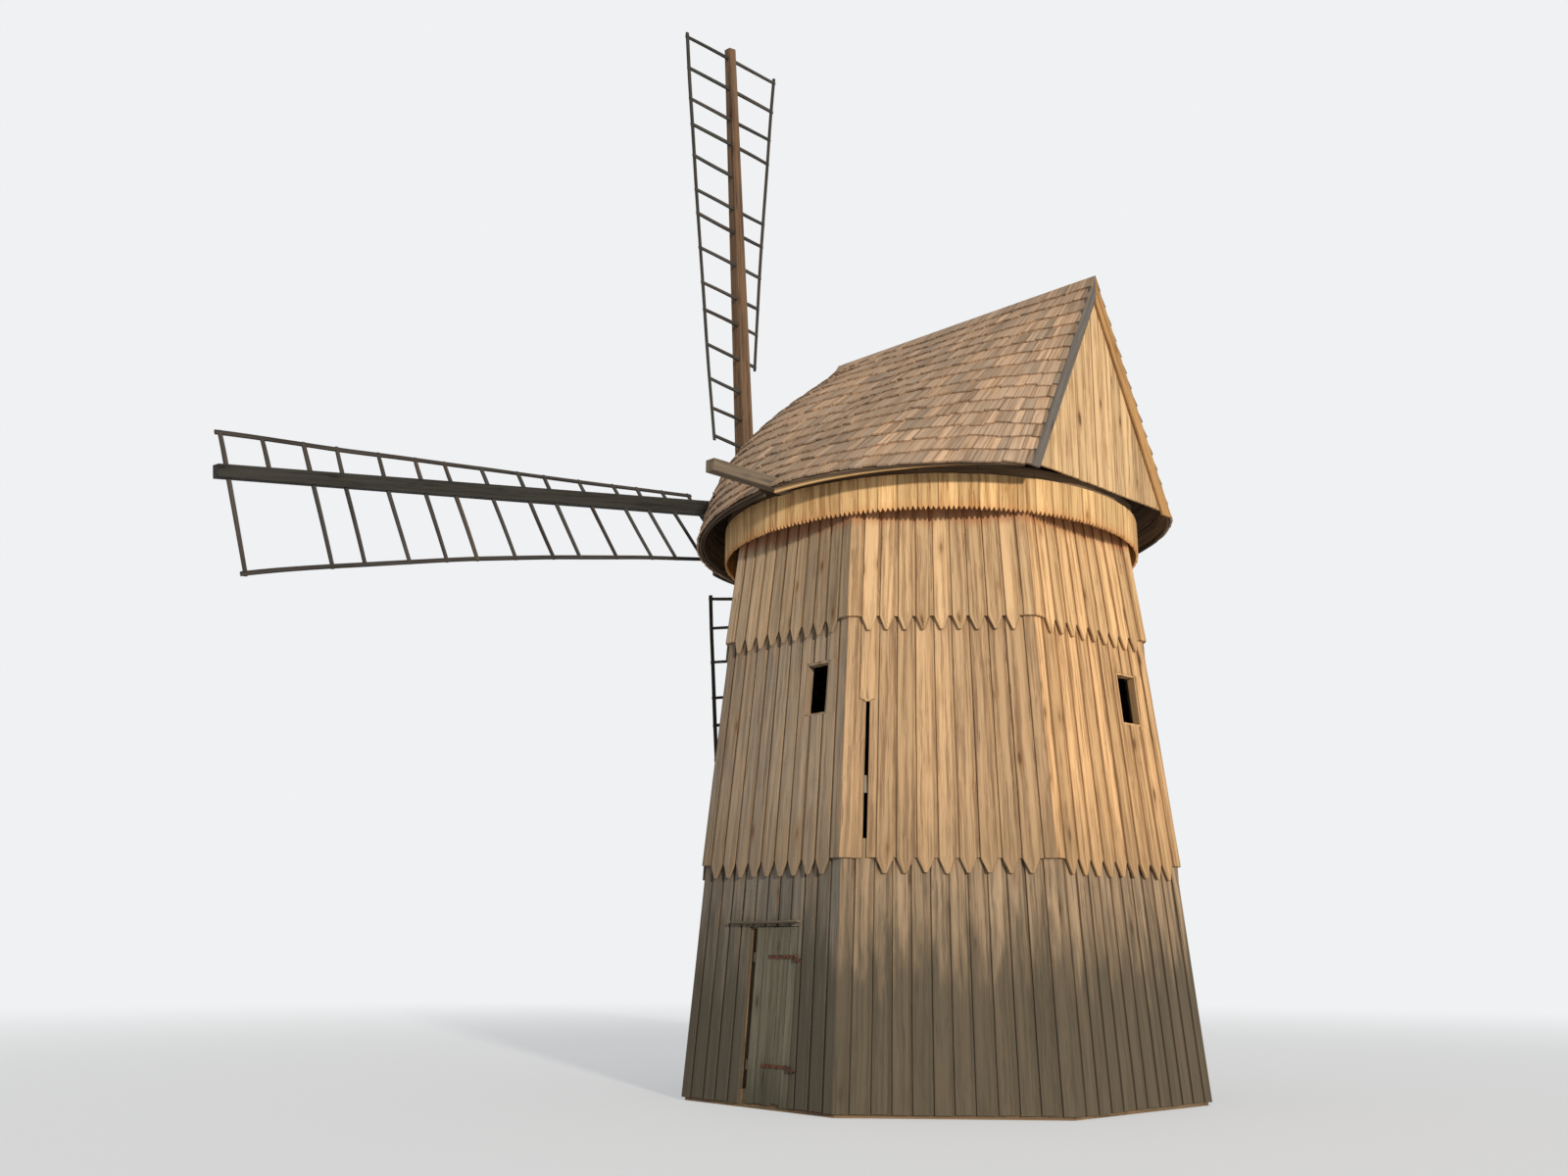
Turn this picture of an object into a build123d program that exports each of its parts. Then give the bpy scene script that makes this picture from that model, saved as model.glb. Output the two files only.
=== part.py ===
from build123d import *
import os
from math import asin, atan, cos, degrees, hypot, pi, radians, sin, tan

# A small eight-sided wooden smock mill. A leaning timber frame, clad with upright boards in three
# tiers, carries a round cap that turns on a curb. The cap holds the windshaft with its four lattice
# sails. Millimetres, +Z up, origin on the ground at the tower's axis. The sails face -Y.

os.makedirs("parts", exist_ok=True)

# Tower frame
side_count = 8
side_turn = -2.3            # the door's side looks this many degrees off +X
frame_radius = 3015.0       # corner radius of the frame at the ground
frame_taper = 0.095         # how far the corners lean in for each unit of height
sill_height = 180.0
sill_width = 180.0
post_face = 120.0           # a corner post along each of its two sides
post_depth = 150.0
girt_height = 140.0
girt_width = 110.0
plate_foot = 6300.0         # height of the top plates above the ground
plate_height = 140.0
plate_width = 200.0
beam_seam = 0.6             # half the open joint where two beams meet

# Board cladding
board_depth = 40.0          # under-boards and over-boards together
ground_gap = 30.0
tier_overlap = 200.0
tier_head_gap = 8.0
middle_tier_foot = 2480.0
upper_tier_foot = 5040.0

# Floors
sleeper_width = 160.0
sleeper_height = 140.0
sleeper_spacing = 1350.0
floor_board = 40.0
floor_seam = 0.6

# Windows
window_width = 360.0
window_height = 590.0
window_foot = 4015.0
window_offset = 560.0       # from the middle of the side towards the next corner

# Door
door_left = -250.0          # the doorway's two edges, from the middle of the side
door_right = 520.0
door_head = 1810.0
door_gap = 6.0
lost_board = 110.0          # the leaf has lost its outermost board
ledge_height = 100.0
ledge_depth = 30.0
ledge_ends = 40.0
ledge_heights = (420.0, 1500.0)
jamb_width = 80.0
jamb_depth = 90.0
door_stop = 15.0            # how far the jambs and the head stand into the doorway behind the leaf
leaf_clearance = 8.0        # between the leaf's back and the jambs
leaf_recess = 4.0
drip_length = 1050.0
drip_middle = 25.0
drip_height = 40.0
drip_depth = 70.0
drip_lift = 30.0

# Door hinges
pin_radius = 6.0
barrel_radius = 12.0
barrel_length = 40.0
pin_clearance = 0.3
barrel_gap = 2.0            # above the arm, and off the wall
strap_depth = 6.0
strap_height = 36.0
strap_length = 430.0
pintle_length = 80.0

# Curb and cap ring
curb_inner = 2080.0
curb_outer = 2320.0
curb_height = 150.0
curb_segments = 16
turning_gap = 0.5
ring_inner = 2180.0
ring_outer = 2495.0
ring_height = 140.0
nail_gap = 0.3              # between the boards of two tiers

# Skirt
skirt_depth = 25.0
skirt_drop = 400.0          # below the cap ring's underside
skirt_lap = 15.0            # above the cap ring's underside
skirt_segments = 24
skirt_seam = 1.0

# Cap frame
sheer_spacing = 1500.0
sheer_width = 200.0
sheer_height = 220.0
sheer_length = 4500.0
spreader_place = 30.0       # along Y
spreader_width = 140.0
spreader_reach = 3680.0
spreader_gap = 8.0          # between the beam and the roof's notch
breast_width = 240.0
breast_length = 1900.0
tail_width = 240.0
bearing_width = 520.0
bearing_height = 380.0      # from the breast beam up to the shaft's middle
tail_bearing_width = 300.0
tail_bearing_height = 282.0

# Roof
eave_radius = 2865.0
eave_rear = 2994.0          # the eave's rear is an ellipse with this half length
eave_front = 2946.0
eave_lift = 15.0            # above the cap ring's underside
eave_drop = 257.0           # the eave's fall towards the front
gable_place = 2610.0        # the front of the bargeboards
ridge_height = 9280.0       # at the gable
ridge_rise = 0.017          # the ridge's rise towards the front
ridge_front = 1530.0
rib_steps = 5
front_flat = 0.03           # how much the very front is flattened
front_swell = 1000.0        # how far the rounded front swells at half height; the middle of it swells half as far
side_swell = 12.0
roof_depth = 60.0
gable_board = 30.0
gable_lift = 12.0           # the gable's boards end this far above the skirt
barge_width = 180.0
barge_depth = 30.0
eave_board_depth = 30.0
eave_board_inset = 75.0     # in from the eave
eave_board_drop = 15.0      # below the eave
eave_board_rise = 130.0     # the most that an eave board stands above the roof's lower edge
gable_sill_height = 140.0
gable_sill_width = 110.0
gable_sill_length = 2560.0

# Windshaft
hub_place = -3420.0
shaft_tilt = 5.5
shaft_radius = 200.0
shaft_hole_gap = 90.0
head_size = 560.0
head_front = 330.0
head_back = 420.0
neck_place = -2150.0
tail_place = 1300.0
tail_radius = 90.0
neck_radius = 200.0
shaft_clearance = 0.5
neck_shoulder = 80.0        # behind the neck bearing, where the shaft starts to taper
tail_shoulder = 60.0
tail_length = 360.0

# Stocks
rotor_turn = 8.75           # how far the upright stock leans out of the vertical
stock_offset = 130.0        # the level stock's middle in front of the hub; the upright one lies behind it
stock_root = 200.0
stock_straight = 320.0
upright_tip = 115.0
upright_reach = 6750.0
level_tip = 150.0
level_reach = 7600.0

# Sail lattices
bar_width = 50.0
bar_depth = 34.0
bar_set_back = 8.0          # from a stile's outer face to the bars' ends
stile_width = 55.0
stile_depth = 30.0
stile_end = 60.0            # past the last bar
weather_reach = 6200.0      # the distance from the hub over which a sail's twist runs out
upright_bar_shares = (      # each bar's distance from the hub as a share of the stock's reach
    0.978, 0.910, 0.842, 0.788, 0.718, 0.646, 0.594, 0.523, 0.450, 0.393, 0.319, 0.248, 0.189, 0.130,
)
level_bar_shares = (
    0.983, 0.919, 0.855, 0.803, 0.733, 0.668, 0.614, 0.545, 0.474, 0.421, 0.348, 0.275, 0.223, 0.165, 0.103,
)
upright_trailing = (1020.0, 1130.0, 1250.0)     # from the stock to the stile at the outermost bar, halfway, at the innermost
upper_leading = (1104.0, 744.0, 342.0)
lower_leading = (600.0, 620.0, 600.0)
level_trailing = (1247.0, 1034.0, 1071.0)
level_leading = (515.0, 396.0, 289.0)
upright_weather = (11.6, 19.0)          # a sail's angle at weather_reach, and how much more it is at the hub
level_weather = (24.7, 18.6)
upper_lost_leading = (4, 11, 12, 13)    # bars that have lost one half, counted from the tip
upper_leading_last = 10                 # the last bar that the upper sail's leading stile still holds
near_lost_trailing = (1,)

side_angle = 360 / side_count
half_side = tan(radians(side_angle / 2))
flat_share = cos(radians(side_angle / 2))
cap_foot = plate_foot + plate_height + curb_height + turning_gap


def frame_reach(height):
    """The distance from the axis to the flat of the frame at a height."""
    return (frame_radius - frame_taper * height) * flat_share


def side_azimuth(side):
    return side_turn + side * side_angle


def side_plane(side, foot, head):
    """A leaning side's plane: x runs along the side, y up it and z outwards. foot and head are (reach, height)."""
    turn = radians(side_azimuth(side))
    lean = atan((foot[0] - head[0]) / (head[1] - foot[1]))
    return Plane(
        origin=(foot[0] * cos(turn), foot[0] * sin(turn), foot[1]),
        x_dir=(-sin(turn), cos(turn), 0),
        z_dir=(cos(turn) * cos(lean), sin(turn) * cos(lean), sin(lean)),
    )


def level_plane(side, height):
    """A level plane whose x looks out through a side."""
    turn = radians(side_azimuth(side))
    return Plane(origin=(0, 0, height), x_dir=(cos(turn), sin(turn), 0), z_dir=(0, 0, 1))


class Tier:
    """One tier of boards on one side: where its inner face lies and how wide it is."""

    def __init__(self, side, foot, head, lower_lap):
        self.foot = (frame_reach(foot) + lower_lap, foot)
        self.head = (frame_reach(head), head)
        self.plane = side_plane(side, self.foot, self.head)
        self.lean = atan((self.foot[0] - self.head[0]) / (head - foot))
        self.height = hypot(self.foot[0] - self.head[0], head - foot)

    def half_width(self, up, out):
        reach = self.foot[0] - up * sin(self.lean) + out * cos(self.lean)
        return reach * half_side - beam_seam

    def up(self, height):
        """The way up the side to a height above the ground."""
        return (height - self.foot[1]) / cos(self.lean)


def board_panel(tier, left=None, right=None, low=0.0, high=None):
    """A slab of boards as two outlines to loft: its left and right edges follow the corners if not given."""
    top = tier.height if high is None else high
    outlines = []
    for out in (0.0, board_depth):
        low_left = -tier.half_width(low, out) if left is None else left
        low_right = tier.half_width(low, out) if right is None else right
        top_left = -tier.half_width(top, out) if left is None else left
        top_right = tier.half_width(top, out) if right is None else right
        with BuildSketch(tier.plane.offset(out)) as outline:
            Polygon((low_left, low), (low_right, low), (top_right, top), (top_left, top), align=None)
        outlines.append(outline.sketch)
    loft(outlines, ruled=True)


def level_beam(side, foot, height, width, end):
    """A beam along a side, its outer face on the frame's leaning face, its ends cut back by end."""
    outlines = []
    for level in (foot, foot + height):
        outer = frame_reach(level)
        inner = outer - width
        with BuildSketch(level_plane(side, level)) as outline:
            Polygon(
                (outer, -outer * half_side + end), (outer, outer * half_side - end),
                (inner, inner * half_side - end), (inner, -inner * half_side + end), align=None,
            )
        outlines.append(outline.sketch)
    loft(outlines, ruled=True)


def octagon(reach, turn):
    """The corners of an octagon whose first flat lies at reach in the direction turn."""
    radius = reach / flat_share
    angles = [radians(turn + (corner + 0.5) * side_angle) for corner in range(side_count)]
    return [(radius * cos(angle), radius * sin(angle)) for angle in angles]


def finish(part, name):
    part.label = name
    export_step(part, f"parts/{name}.step")


# Sill beams, which lie on the ground
with BuildPart() as sill_beams:
    for side in range(side_count):
        level_beam(side, 0, sill_height, sill_width, beam_seam)
finish(sill_beams.part, "sill_beams")

# Corner posts, from the sill to the top plates
with BuildPart() as corner_posts:
    for side in range(side_count):
        corner = radians(side_azimuth(side) + side_angle / 2)
        radius = frame_radius - frame_taper * sill_height
        back = radius - post_face * sin(radians(side_angle / 2))
        spread = post_face * flat_share
        with BuildSketch(Plane(origin=(0, 0, sill_height), x_dir=(cos(corner), sin(corner), 0), z_dir=(0, 0, 1))):
            Polygon((radius, 0), (back, spread), (back - post_depth, spread),
                    (back - post_depth, -spread), (back, -spread), align=None)
        rise = plate_foot - sill_height
        lean = Vector(-frame_taper * cos(corner), -frame_taper * sin(corner), 1)
        extrude(amount=rise * lean.length, dir=lean)
finish(corner_posts.part, "corner_posts")

# Girts between the posts, behind the joint of two tiers
girt_feet = {"lower_girts": middle_tier_foot, "upper_girts": upper_tier_foot}
for name, girt_foot in girt_feet.items():
    with BuildPart() as girts:
        for side in range(side_count):
            level_beam(side, girt_foot, girt_height, girt_width, post_face)
    finish(girts.part, name)

# Top plates on the posts
with BuildPart() as top_plates:
    for side in range(side_count):
        level_beam(side, plate_foot, plate_height, plate_width, beam_seam)
finish(top_plates.part, "top_plates")

# Curb, a round track of straight-backed segments that the cap turns on
curb_foot = plate_foot + plate_height
curb_turn = pi / curb_segments
with BuildPart() as curb:
    with BuildSketch(Plane.XY.offset(curb_foot)):
        with PolarLocations(0, curb_segments):
            Polygon(
                (curb_inner, -curb_inner * tan(curb_turn) + beam_seam),
                (curb_outer * cos(curb_turn), -curb_outer * sin(curb_turn) + beam_seam),
                (curb_outer * cos(curb_turn), curb_outer * sin(curb_turn) - beam_seam),
                (curb_inner, curb_inner * tan(curb_turn) - beam_seam), align=None,
            )
    extrude(amount=curb_height)
finish(curb.part, "curb")

# Ground floor: sleepers between the sill beams and a deck level with the sills
sill_room = frame_reach(sill_height) - sill_width - floor_seam
with BuildPart() as ground_sleepers:
    with BuildSketch():
        with GridLocations(sleeper_spacing, sleeper_spacing, 3, 1):
            Rectangle(sleeper_width, 2 * frame_radius)
        Polygon(*octagon(sill_room, side_turn), align=None, mode=Mode.INTERSECT)
    extrude(amount=sleeper_height)
finish(ground_sleepers.part, "ground_sleepers")

with BuildPart() as ground_floor:
    with BuildSketch(Plane.XY.offset(sleeper_height)):
        Polygon(*octagon(sill_room, side_turn), align=None)
    extrude(amount=sill_height - sleeper_height)
finish(ground_floor.part, "ground_floor")

# Upper floor, which lies on the lower girts and stops short of the corner posts
upper_floor_foot = middle_tier_foot + girt_height
upper_floor_head = upper_floor_foot + floor_board
post_back = frame_radius - frame_taper * upper_floor_head - post_face * sin(radians(side_angle / 2)) - post_depth
with BuildPart() as upper_floor:
    with BuildSketch(Plane.XY.offset(upper_floor_foot)):
        Polygon(*octagon(frame_reach(upper_floor_head) - floor_seam, side_turn), align=None)
        Polygon(*octagon(post_back - floor_seam, side_turn + side_angle / 2), align=None, mode=Mode.INTERSECT)
    extrude(amount=floor_board)
finish(upper_floor.part, "upper_floor")

# Board tiers. Each upper tier's foot stands out over the head of the tier below.
lower_lean = atan(frame_taper * flat_share)


def tier_lap(foot, head):
    """How far a tier's foot stands out so that its boards pass the head of the tier below."""
    return (board_depth / cos(lower_lean) + nail_gap) / (1 - tier_overlap / (head - foot))


def lower_tier(side):
    return Tier(side, ground_gap, middle_tier_foot + tier_overlap, 0)


def middle_tier(side):
    head = upper_tier_foot + tier_overlap
    return Tier(side, middle_tier_foot, head, tier_lap(middle_tier_foot, head))


def upper_tier(side):
    head = curb_foot - tier_head_gap
    return Tier(side, upper_tier_foot, head, tier_lap(upper_tier_foot, head))


door_side = 0
window_sides = (0, 2)
with BuildPart() as lower_walls:
    for side in range(side_count):
        if side != door_side:
            board_panel(lower_tier(side))
finish(lower_walls.part, "lower_walls")

door_tier = lower_tier(door_side)
with BuildPart() as door_side_walls:
    board_panel(door_tier, right=door_left)
    board_panel(door_tier, left=door_right)
finish(door_side_walls.part, "door_side_walls")

with BuildPart() as wall_over_door:
    board_panel(door_tier, left=door_left + beam_seam, right=door_right - beam_seam, low=door_tier.up(door_head))
finish(wall_over_door.part, "wall_over_door")

with BuildPart() as middle_walls:
    for side in range(side_count):
        if side not in window_sides:
            board_panel(middle_tier(side))
finish(middle_walls.part, "middle_walls")

with BuildPart() as window_walls:
    for side in window_sides:
        tier = middle_tier(side)
        board_panel(tier)
        window_up = tier.up(window_foot) + window_height / 2
        with Locations(tier.plane * Pos(window_offset, window_up, board_depth / 2)):
            Box(window_width, window_height, 2 * board_depth, mode=Mode.SUBTRACT)
finish(window_walls.part, "window_walls")

with BuildPart() as upper_walls:
    for side in range(side_count):
        board_panel(upper_tier(side))
finish(upper_walls.part, "upper_walls")

# Door frame: two jambs from the sill beam to the girt, and a head between them
door_plane = door_tier.plane
jamb_rise = door_tier.up(middle_tier_foot)
with BuildPart() as door_frame:
    for edge, way in ((door_left, 1), (door_right, -1)):
        with Locations(door_plane * Pos(edge + way * (door_stop - jamb_width / 2), jamb_rise / 2, -jamb_depth / 2)):
            Box(jamb_width, 2 * jamb_rise, jamb_depth)
    split(bisect_by=Plane.XY.offset(sill_height), keep=Keep.TOP)
    split(bisect_by=Plane.XY.offset(middle_tier_foot), keep=Keep.BOTTOM)
    head_low = door_tier.up(door_head)
    head_middle = (door_left + door_right) / 2
    head_width = door_right - door_left - 2 * (door_stop + beam_seam)
    with Locations(door_plane * Pos(head_middle, head_low + jamb_width / 2 - door_stop, -jamb_depth / 2)):
        Box(head_width, jamb_width, jamb_depth)
finish(door_frame.part, "door_frame")

# Drip board over the door
with BuildPart() as drip_board:
    drip_up = door_tier.up(door_head) + drip_lift + drip_height / 2
    with Locations(door_plane * Pos(drip_middle, drip_up, board_depth + drip_depth / 2)):
        Box(drip_length, drip_height, drip_depth)
finish(drip_board.part, "drip_board")

# Door leaf. Its boards lie between the wall's faces, its ledges behind them.
leaf_low = door_tier.up(ground_gap) + door_gap
leaf_high = door_tier.up(door_head) - door_gap
leaf_left = door_left + door_gap + lost_board
leaf_right = door_right - door_gap
leaf_face = board_depth - leaf_recess
leaf_depth = leaf_face - leaf_clearance
with BuildPart() as door_leaf:
    with Locations(door_plane * Pos((leaf_left + leaf_right) / 2, (leaf_low + leaf_high) / 2,
                                    leaf_clearance + leaf_depth / 2)):
        Box(leaf_right - leaf_left, leaf_high - leaf_low, leaf_depth)
finish(door_leaf.part, "door_leaf")

with BuildPart() as door_ledges:
    ledge_left = door_left + door_stop + ledge_ends
    ledge_right = door_right - door_stop - ledge_ends
    for height in ledge_heights:
        with Locations(door_plane * Pos((ledge_left + ledge_right) / 2, door_tier.up(height),
                                        leaf_clearance - ledge_depth / 2)):
            Box(ledge_right - ledge_left, ledge_height, ledge_depth)
finish(door_ledges.part, "door_ledges")

# Strap hinges. The straps' barrels turn on upright pins that stand on arms nailed to the wall.
axis_across = door_right
axis_out = board_depth + barrel_radius + barrel_gap
strap_middle = leaf_face + strap_depth / 2
with BuildPart() as door_straps:
    for height in ledge_heights:
        up = door_tier.up(height)
        with Locations(door_plane * Pos(axis_across, up, axis_out)):
            Cylinder(barrel_radius, barrel_length, rotation=(90, 0, 0))
        with Locations(door_plane * Pos(axis_across - strap_length / 2, up, strap_middle)):
            Box(strap_length, strap_height, strap_depth)
        with Locations(door_plane * Pos(axis_across - barrel_radius / 2, up, (leaf_face + axis_out) / 2)):
            Box(barrel_radius, strap_height, axis_out - leaf_face)
        with Locations(door_plane * Pos(axis_across, up, axis_out)):
            Cylinder(pin_radius + pin_clearance, 2 * barrel_length, rotation=(90, 0, 0), mode=Mode.SUBTRACT)
finish(door_straps.part, "door_straps")

with BuildPart() as door_pintles:
    for height in ledge_heights:
        arm_up = door_tier.up(height) - barrel_length / 2 - barrel_gap - barrel_radius
        arm_depth = axis_out + barrel_radius - board_depth
        with Locations(door_plane * Pos(axis_across + pintle_length / 2, arm_up, board_depth + arm_depth / 2)):
            Box(pintle_length, 2 * barrel_radius, arm_depth)
        with Locations(door_plane * Pos(axis_across, arm_up, axis_out)):
            Cylinder(barrel_radius, 2 * barrel_radius, rotation=(90, 0, 0))
        pin_length = 2 * barrel_radius + barrel_gap + barrel_length
        with Locations(door_plane * Pos(axis_across, arm_up - barrel_radius + pin_length / 2, axis_out)):
            Cylinder(pin_radius, pin_length, rotation=(90, 0, 0))
finish(door_pintles.part, "door_pintles")

# Spreader beam, which runs through the cap ring and out below the eave on both sides
with BuildPart() as spreader_beam:
    with Locations((0, spreader_place, cap_foot + ring_height / 2)):
        Box(2 * spreader_reach, spreader_width, ring_height)
finish(spreader_beam.part, "spreader_beam")

# Cap ring, which slides on the curb. The spreader beam cuts it through.
ring_turn = pi / skirt_segments
with BuildPart() as cap_ring:
    with BuildSketch(Plane.XY.offset(cap_foot)):
        with PolarLocations(0, skirt_segments):
            Polygon(
                (ring_inner, -ring_inner * tan(ring_turn) + beam_seam),
                (ring_outer, -ring_outer * tan(ring_turn) + beam_seam),
                (ring_outer, ring_outer * tan(ring_turn) - beam_seam),
                (ring_inner, ring_inner * tan(ring_turn) - beam_seam), align=None,
            )
        with Locations((0, spreader_place)):
            Rectangle(2 * spreader_reach, spreader_width, mode=Mode.SUBTRACT)
    extrude(amount=ring_height)
finish(cap_ring.part, "cap_ring")

# Skirt, upright boards around the cap ring that shield the top of the tower
with BuildPart() as skirt:
    reach = ring_outer + skirt_depth
    with BuildSketch(Plane.XY.offset(cap_foot - skirt_drop)):
        with PolarLocations(0, skirt_segments):
            Polygon(
                (ring_outer, -ring_outer * tan(ring_turn) + skirt_seam), (reach, -reach * tan(ring_turn) + skirt_seam),
                (reach, reach * tan(ring_turn) - skirt_seam), (ring_outer, ring_outer * tan(ring_turn) - skirt_seam),
                align=None,
            )
    extrude(amount=skirt_drop + skirt_lap)
    with Locations((0, spreader_place, cap_foot + ring_height / 2)):
        Box(2 * spreader_reach, spreader_width, ring_height, mode=Mode.SUBTRACT)
finish(skirt.part, "skirt")

# Sheers, the two long beams on the cap ring that carry the windshaft's beams
sheer_foot = cap_foot + ring_height
sheer_head = sheer_foot + sheer_height
with BuildPart() as sheers:
    with Locations((0, 0, sheer_foot + sheer_height / 2)):
        with GridLocations(sheer_spacing, sheer_spacing, 2, 1):
            Box(sheer_width, sheer_length, sheer_height)
finish(sheers.part, "sheers")

# Windshaft's own plane: z runs outwards along the shaft from the hub, x towards +X
hub_height = sheer_head + tail_bearing_height + (tail_place - hub_place) * tan(radians(shaft_tilt))
shaft_plane = Plane(
    origin=(0, hub_place, hub_height), x_dir=(1, 0, 0),
    z_dir=(0, -cos(radians(shaft_tilt)), sin(radians(shaft_tilt))),
)


def shaft_height(place):
    """The height of the shaft's middle over a place along Y."""
    return hub_height - (place - hub_place) * tan(radians(shaft_tilt))


def shaft_depth(place):
    """The place along the shaft that lies over a place along Y."""
    return -(place - hub_place) / cos(radians(shaft_tilt))


bearing_foot = shaft_height(neck_place) - bearing_height
with BuildPart() as breast_beam:
    with Locations((0, neck_place, (sheer_head + bearing_foot) / 2)):
        Box(breast_length, breast_width, bearing_foot - sheer_head)
finish(breast_beam.part, "breast_beam")

with BuildPart() as neck_bearing:
    with Locations((0, neck_place, bearing_foot + bearing_height / 2)):
        Box(bearing_width, breast_width, bearing_height)
    with BuildSketch(shaft_plane.offset(shaft_depth(neck_place) - breast_width)):
        Circle(neck_radius + shaft_clearance)
    extrude(amount=2 * breast_width, mode=Mode.SUBTRACT)
finish(neck_bearing.part, "neck_bearing")

with BuildPart() as tail_beam:
    with Locations((0, tail_place, sheer_foot + sheer_height / 2)):
        Box(sheer_spacing - sheer_width, tail_width, sheer_height)
finish(tail_beam.part, "tail_beam")

with BuildPart() as tail_bearing:
    with Locations((0, tail_place, sheer_head + tail_bearing_height / 2)):
        Box(tail_bearing_width, tail_width, tail_bearing_height)
    with BuildSketch(shaft_plane.offset(shaft_depth(tail_place) - tail_width)):
        Circle(tail_radius + shaft_clearance)
    extrude(amount=2 * tail_width, mode=Mode.SUBTRACT)
finish(tail_bearing.part, "tail_bearing")

# Roof. Each rib is a curve from the eave to the ridge in an upright plane; the skin is ruled from rib to rib.
eave_height = cap_foot + eave_lift


def roof_rib(turn):
    """A rib's foot, the way it leans in plan and its points (in from the foot, up), outer side then inner side."""
    front = max(0.0, -sin(radians(turn)))
    length = eave_front if front else eave_rear
    foot = (eave_radius * cos(radians(turn)), length * sin(radians(turn)) * (1 - front_flat * front**4))
    ridge_place = -ridge_front * front if front else foot[1]
    run = hypot(foot[0], ridge_place - foot[1])
    way = (-foot[0] / run, (ridge_place - foot[1]) / run)
    foot_height = eave_height - eave_drop * front
    rise = ridge_height + ridge_rise * (gable_place - ridge_place) - foot_height
    outer = []
    for step in range(rib_steps + 1):
        share = step / rib_steps
        swell = (side_swell + front_swell * front * (1 - front**2 / 2)) * sin(pi * share)
        outer.append((run * share - swell, foot_height + rise * share))
    inner = []
    for step in range(rib_steps + 1):
        before = outer[max(0, step - 1)]
        after = outer[min(rib_steps, step + 1)]
        along = (after[0] - before[0], after[1] - before[1])
        length = hypot(*along)
        inner.append((outer[step][0] + roof_depth * along[1] / length, outer[step][1] - roof_depth * along[0] / length))
    last, before = inner[-1], inner[-2]
    slope = (last[1] - before[1]) / (last[0] - before[0])
    inner[-1] = (run, before[1] + slope * (run - before[0]))
    return foot, way, outer, inner


def rib_plane(foot, way):
    """The rib's plane: x runs in from the foot, y up from the ground."""
    return Plane(origin=(foot[0], foot[1], 0), x_dir=(way[0], way[1], 0), z_dir=(way[1], -way[0], 0))


def roof_skin(turns):
    """Half the roof's skin between ribs at these turns from +X, as one ruled loft."""
    sections = []
    for turn in turns:
        foot, way, outer, inner = roof_rib(turn)
        with BuildSketch(rib_plane(foot, way)) as section:
            Polygon(*outer, *reversed(inner), align=None)
        sections.append(section.sketch)
    loft(sections, ruled=True)


def eave_turn(place):
    return degrees(asin(place / eave_rear))


roof_end = gable_place - barge_depth
rear_turns = [eave_turn(roof_end), eave_turn(roof_end - gable_board), 45, 30, 15, 0]
front_turns = [0, -18, -36, -54, -72, -90]
with BuildPart() as roof_left:
    roof_skin(rear_turns)
    roof_skin(front_turns)
    with Locations((0, spreader_place, cap_foot + ring_height / 2)):
        Box(2 * spreader_reach, spreader_width + 2 * spreader_gap, ring_height + 2 * spreader_gap, mode=Mode.SUBTRACT)
    with BuildSketch(shaft_plane.offset(-2 * head_size)):
        Circle(shaft_radius + shaft_hole_gap)
    extrude(amount=2 * head_size, mode=Mode.SUBTRACT)
finish(roof_left.part, "roof_left")

with BuildPart() as roof_right:
    add(mirror(roof_left.part, about=Plane.YZ))
finish(roof_right.part, "roof_right")

# Eave boards, which hang under the roof's edge on both sides and round the front
with BuildPart() as left_eave_board:
    for turns in (rear_turns[1:], front_turns):
        sections = []
        for turn in turns:
            foot, way, _, inner = roof_rib(turn)
            slope = (inner[1][1] - inner[0][1]) / max(1.0, inner[1][0] - inner[0][0])
            low = inner[0][1] - eave_board_drop
            near, far = eave_board_inset, eave_board_inset + eave_board_depth
            tops = [inner[0][1] + min(eave_board_rise, slope * (across - inner[0][0])) for across in (near, far)]
            with BuildSketch(rib_plane(foot, way)) as section:
                Polygon((near, low), (far, low), (far, tops[1]), (near, tops[0]), align=None)
            sections.append(section.sketch)
        loft(sections, ruled=True)
    with Locations((0, spreader_place, cap_foot + ring_height / 2)):
        Box(2 * spreader_reach, spreader_width + 2 * spreader_gap, ring_height + 2 * spreader_gap, mode=Mode.SUBTRACT)
    add(roof_left.part, mode=Mode.SUBTRACT)
with BuildPart() as eave_boards:
    add(left_eave_board.part)
    add(mirror(left_eave_board.part, about=Plane.YZ))
finish(eave_boards.part, "eave_boards")

# Gable wall, which closes the rear of the cap between the two sides of the roof
with BuildPart() as gable_wall:
    sections = []
    for turn in rear_turns[:2]:
        foot, way, outer, inner = roof_rib(turn)
        with BuildSketch(Plane.XZ.offset(-foot[1])) as section:
            edge = [(foot[0] - across, up) for across, up in inner]
            Polygon(*edge, *[(-across, up) for across, up in reversed(edge[:-1])], align=None)
        sections.append(section.sketch)
    loft(sections, ruled=True)
    gable_foot = cap_foot + skirt_lap + gable_lift
    with Locations((0, roof_end - gable_board / 2, (gable_foot + ridge_height) / 2)):
        Box(2 * eave_radius, gable_board, ridge_height - gable_foot, mode=Mode.INTERSECT)
finish(gable_wall.part, "gable_wall")

# Gable sill, which lies on the cap ring behind the gable's boards
with BuildPart() as gable_sill:
    sill_place = roof_end - gable_board - gable_sill_width / 2
    with Locations((0, sill_place, sheer_foot + gable_sill_height / 2)):
        Box(gable_sill_length, gable_sill_width, gable_sill_height)
finish(gable_sill.part, "gable_sill")

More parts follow.
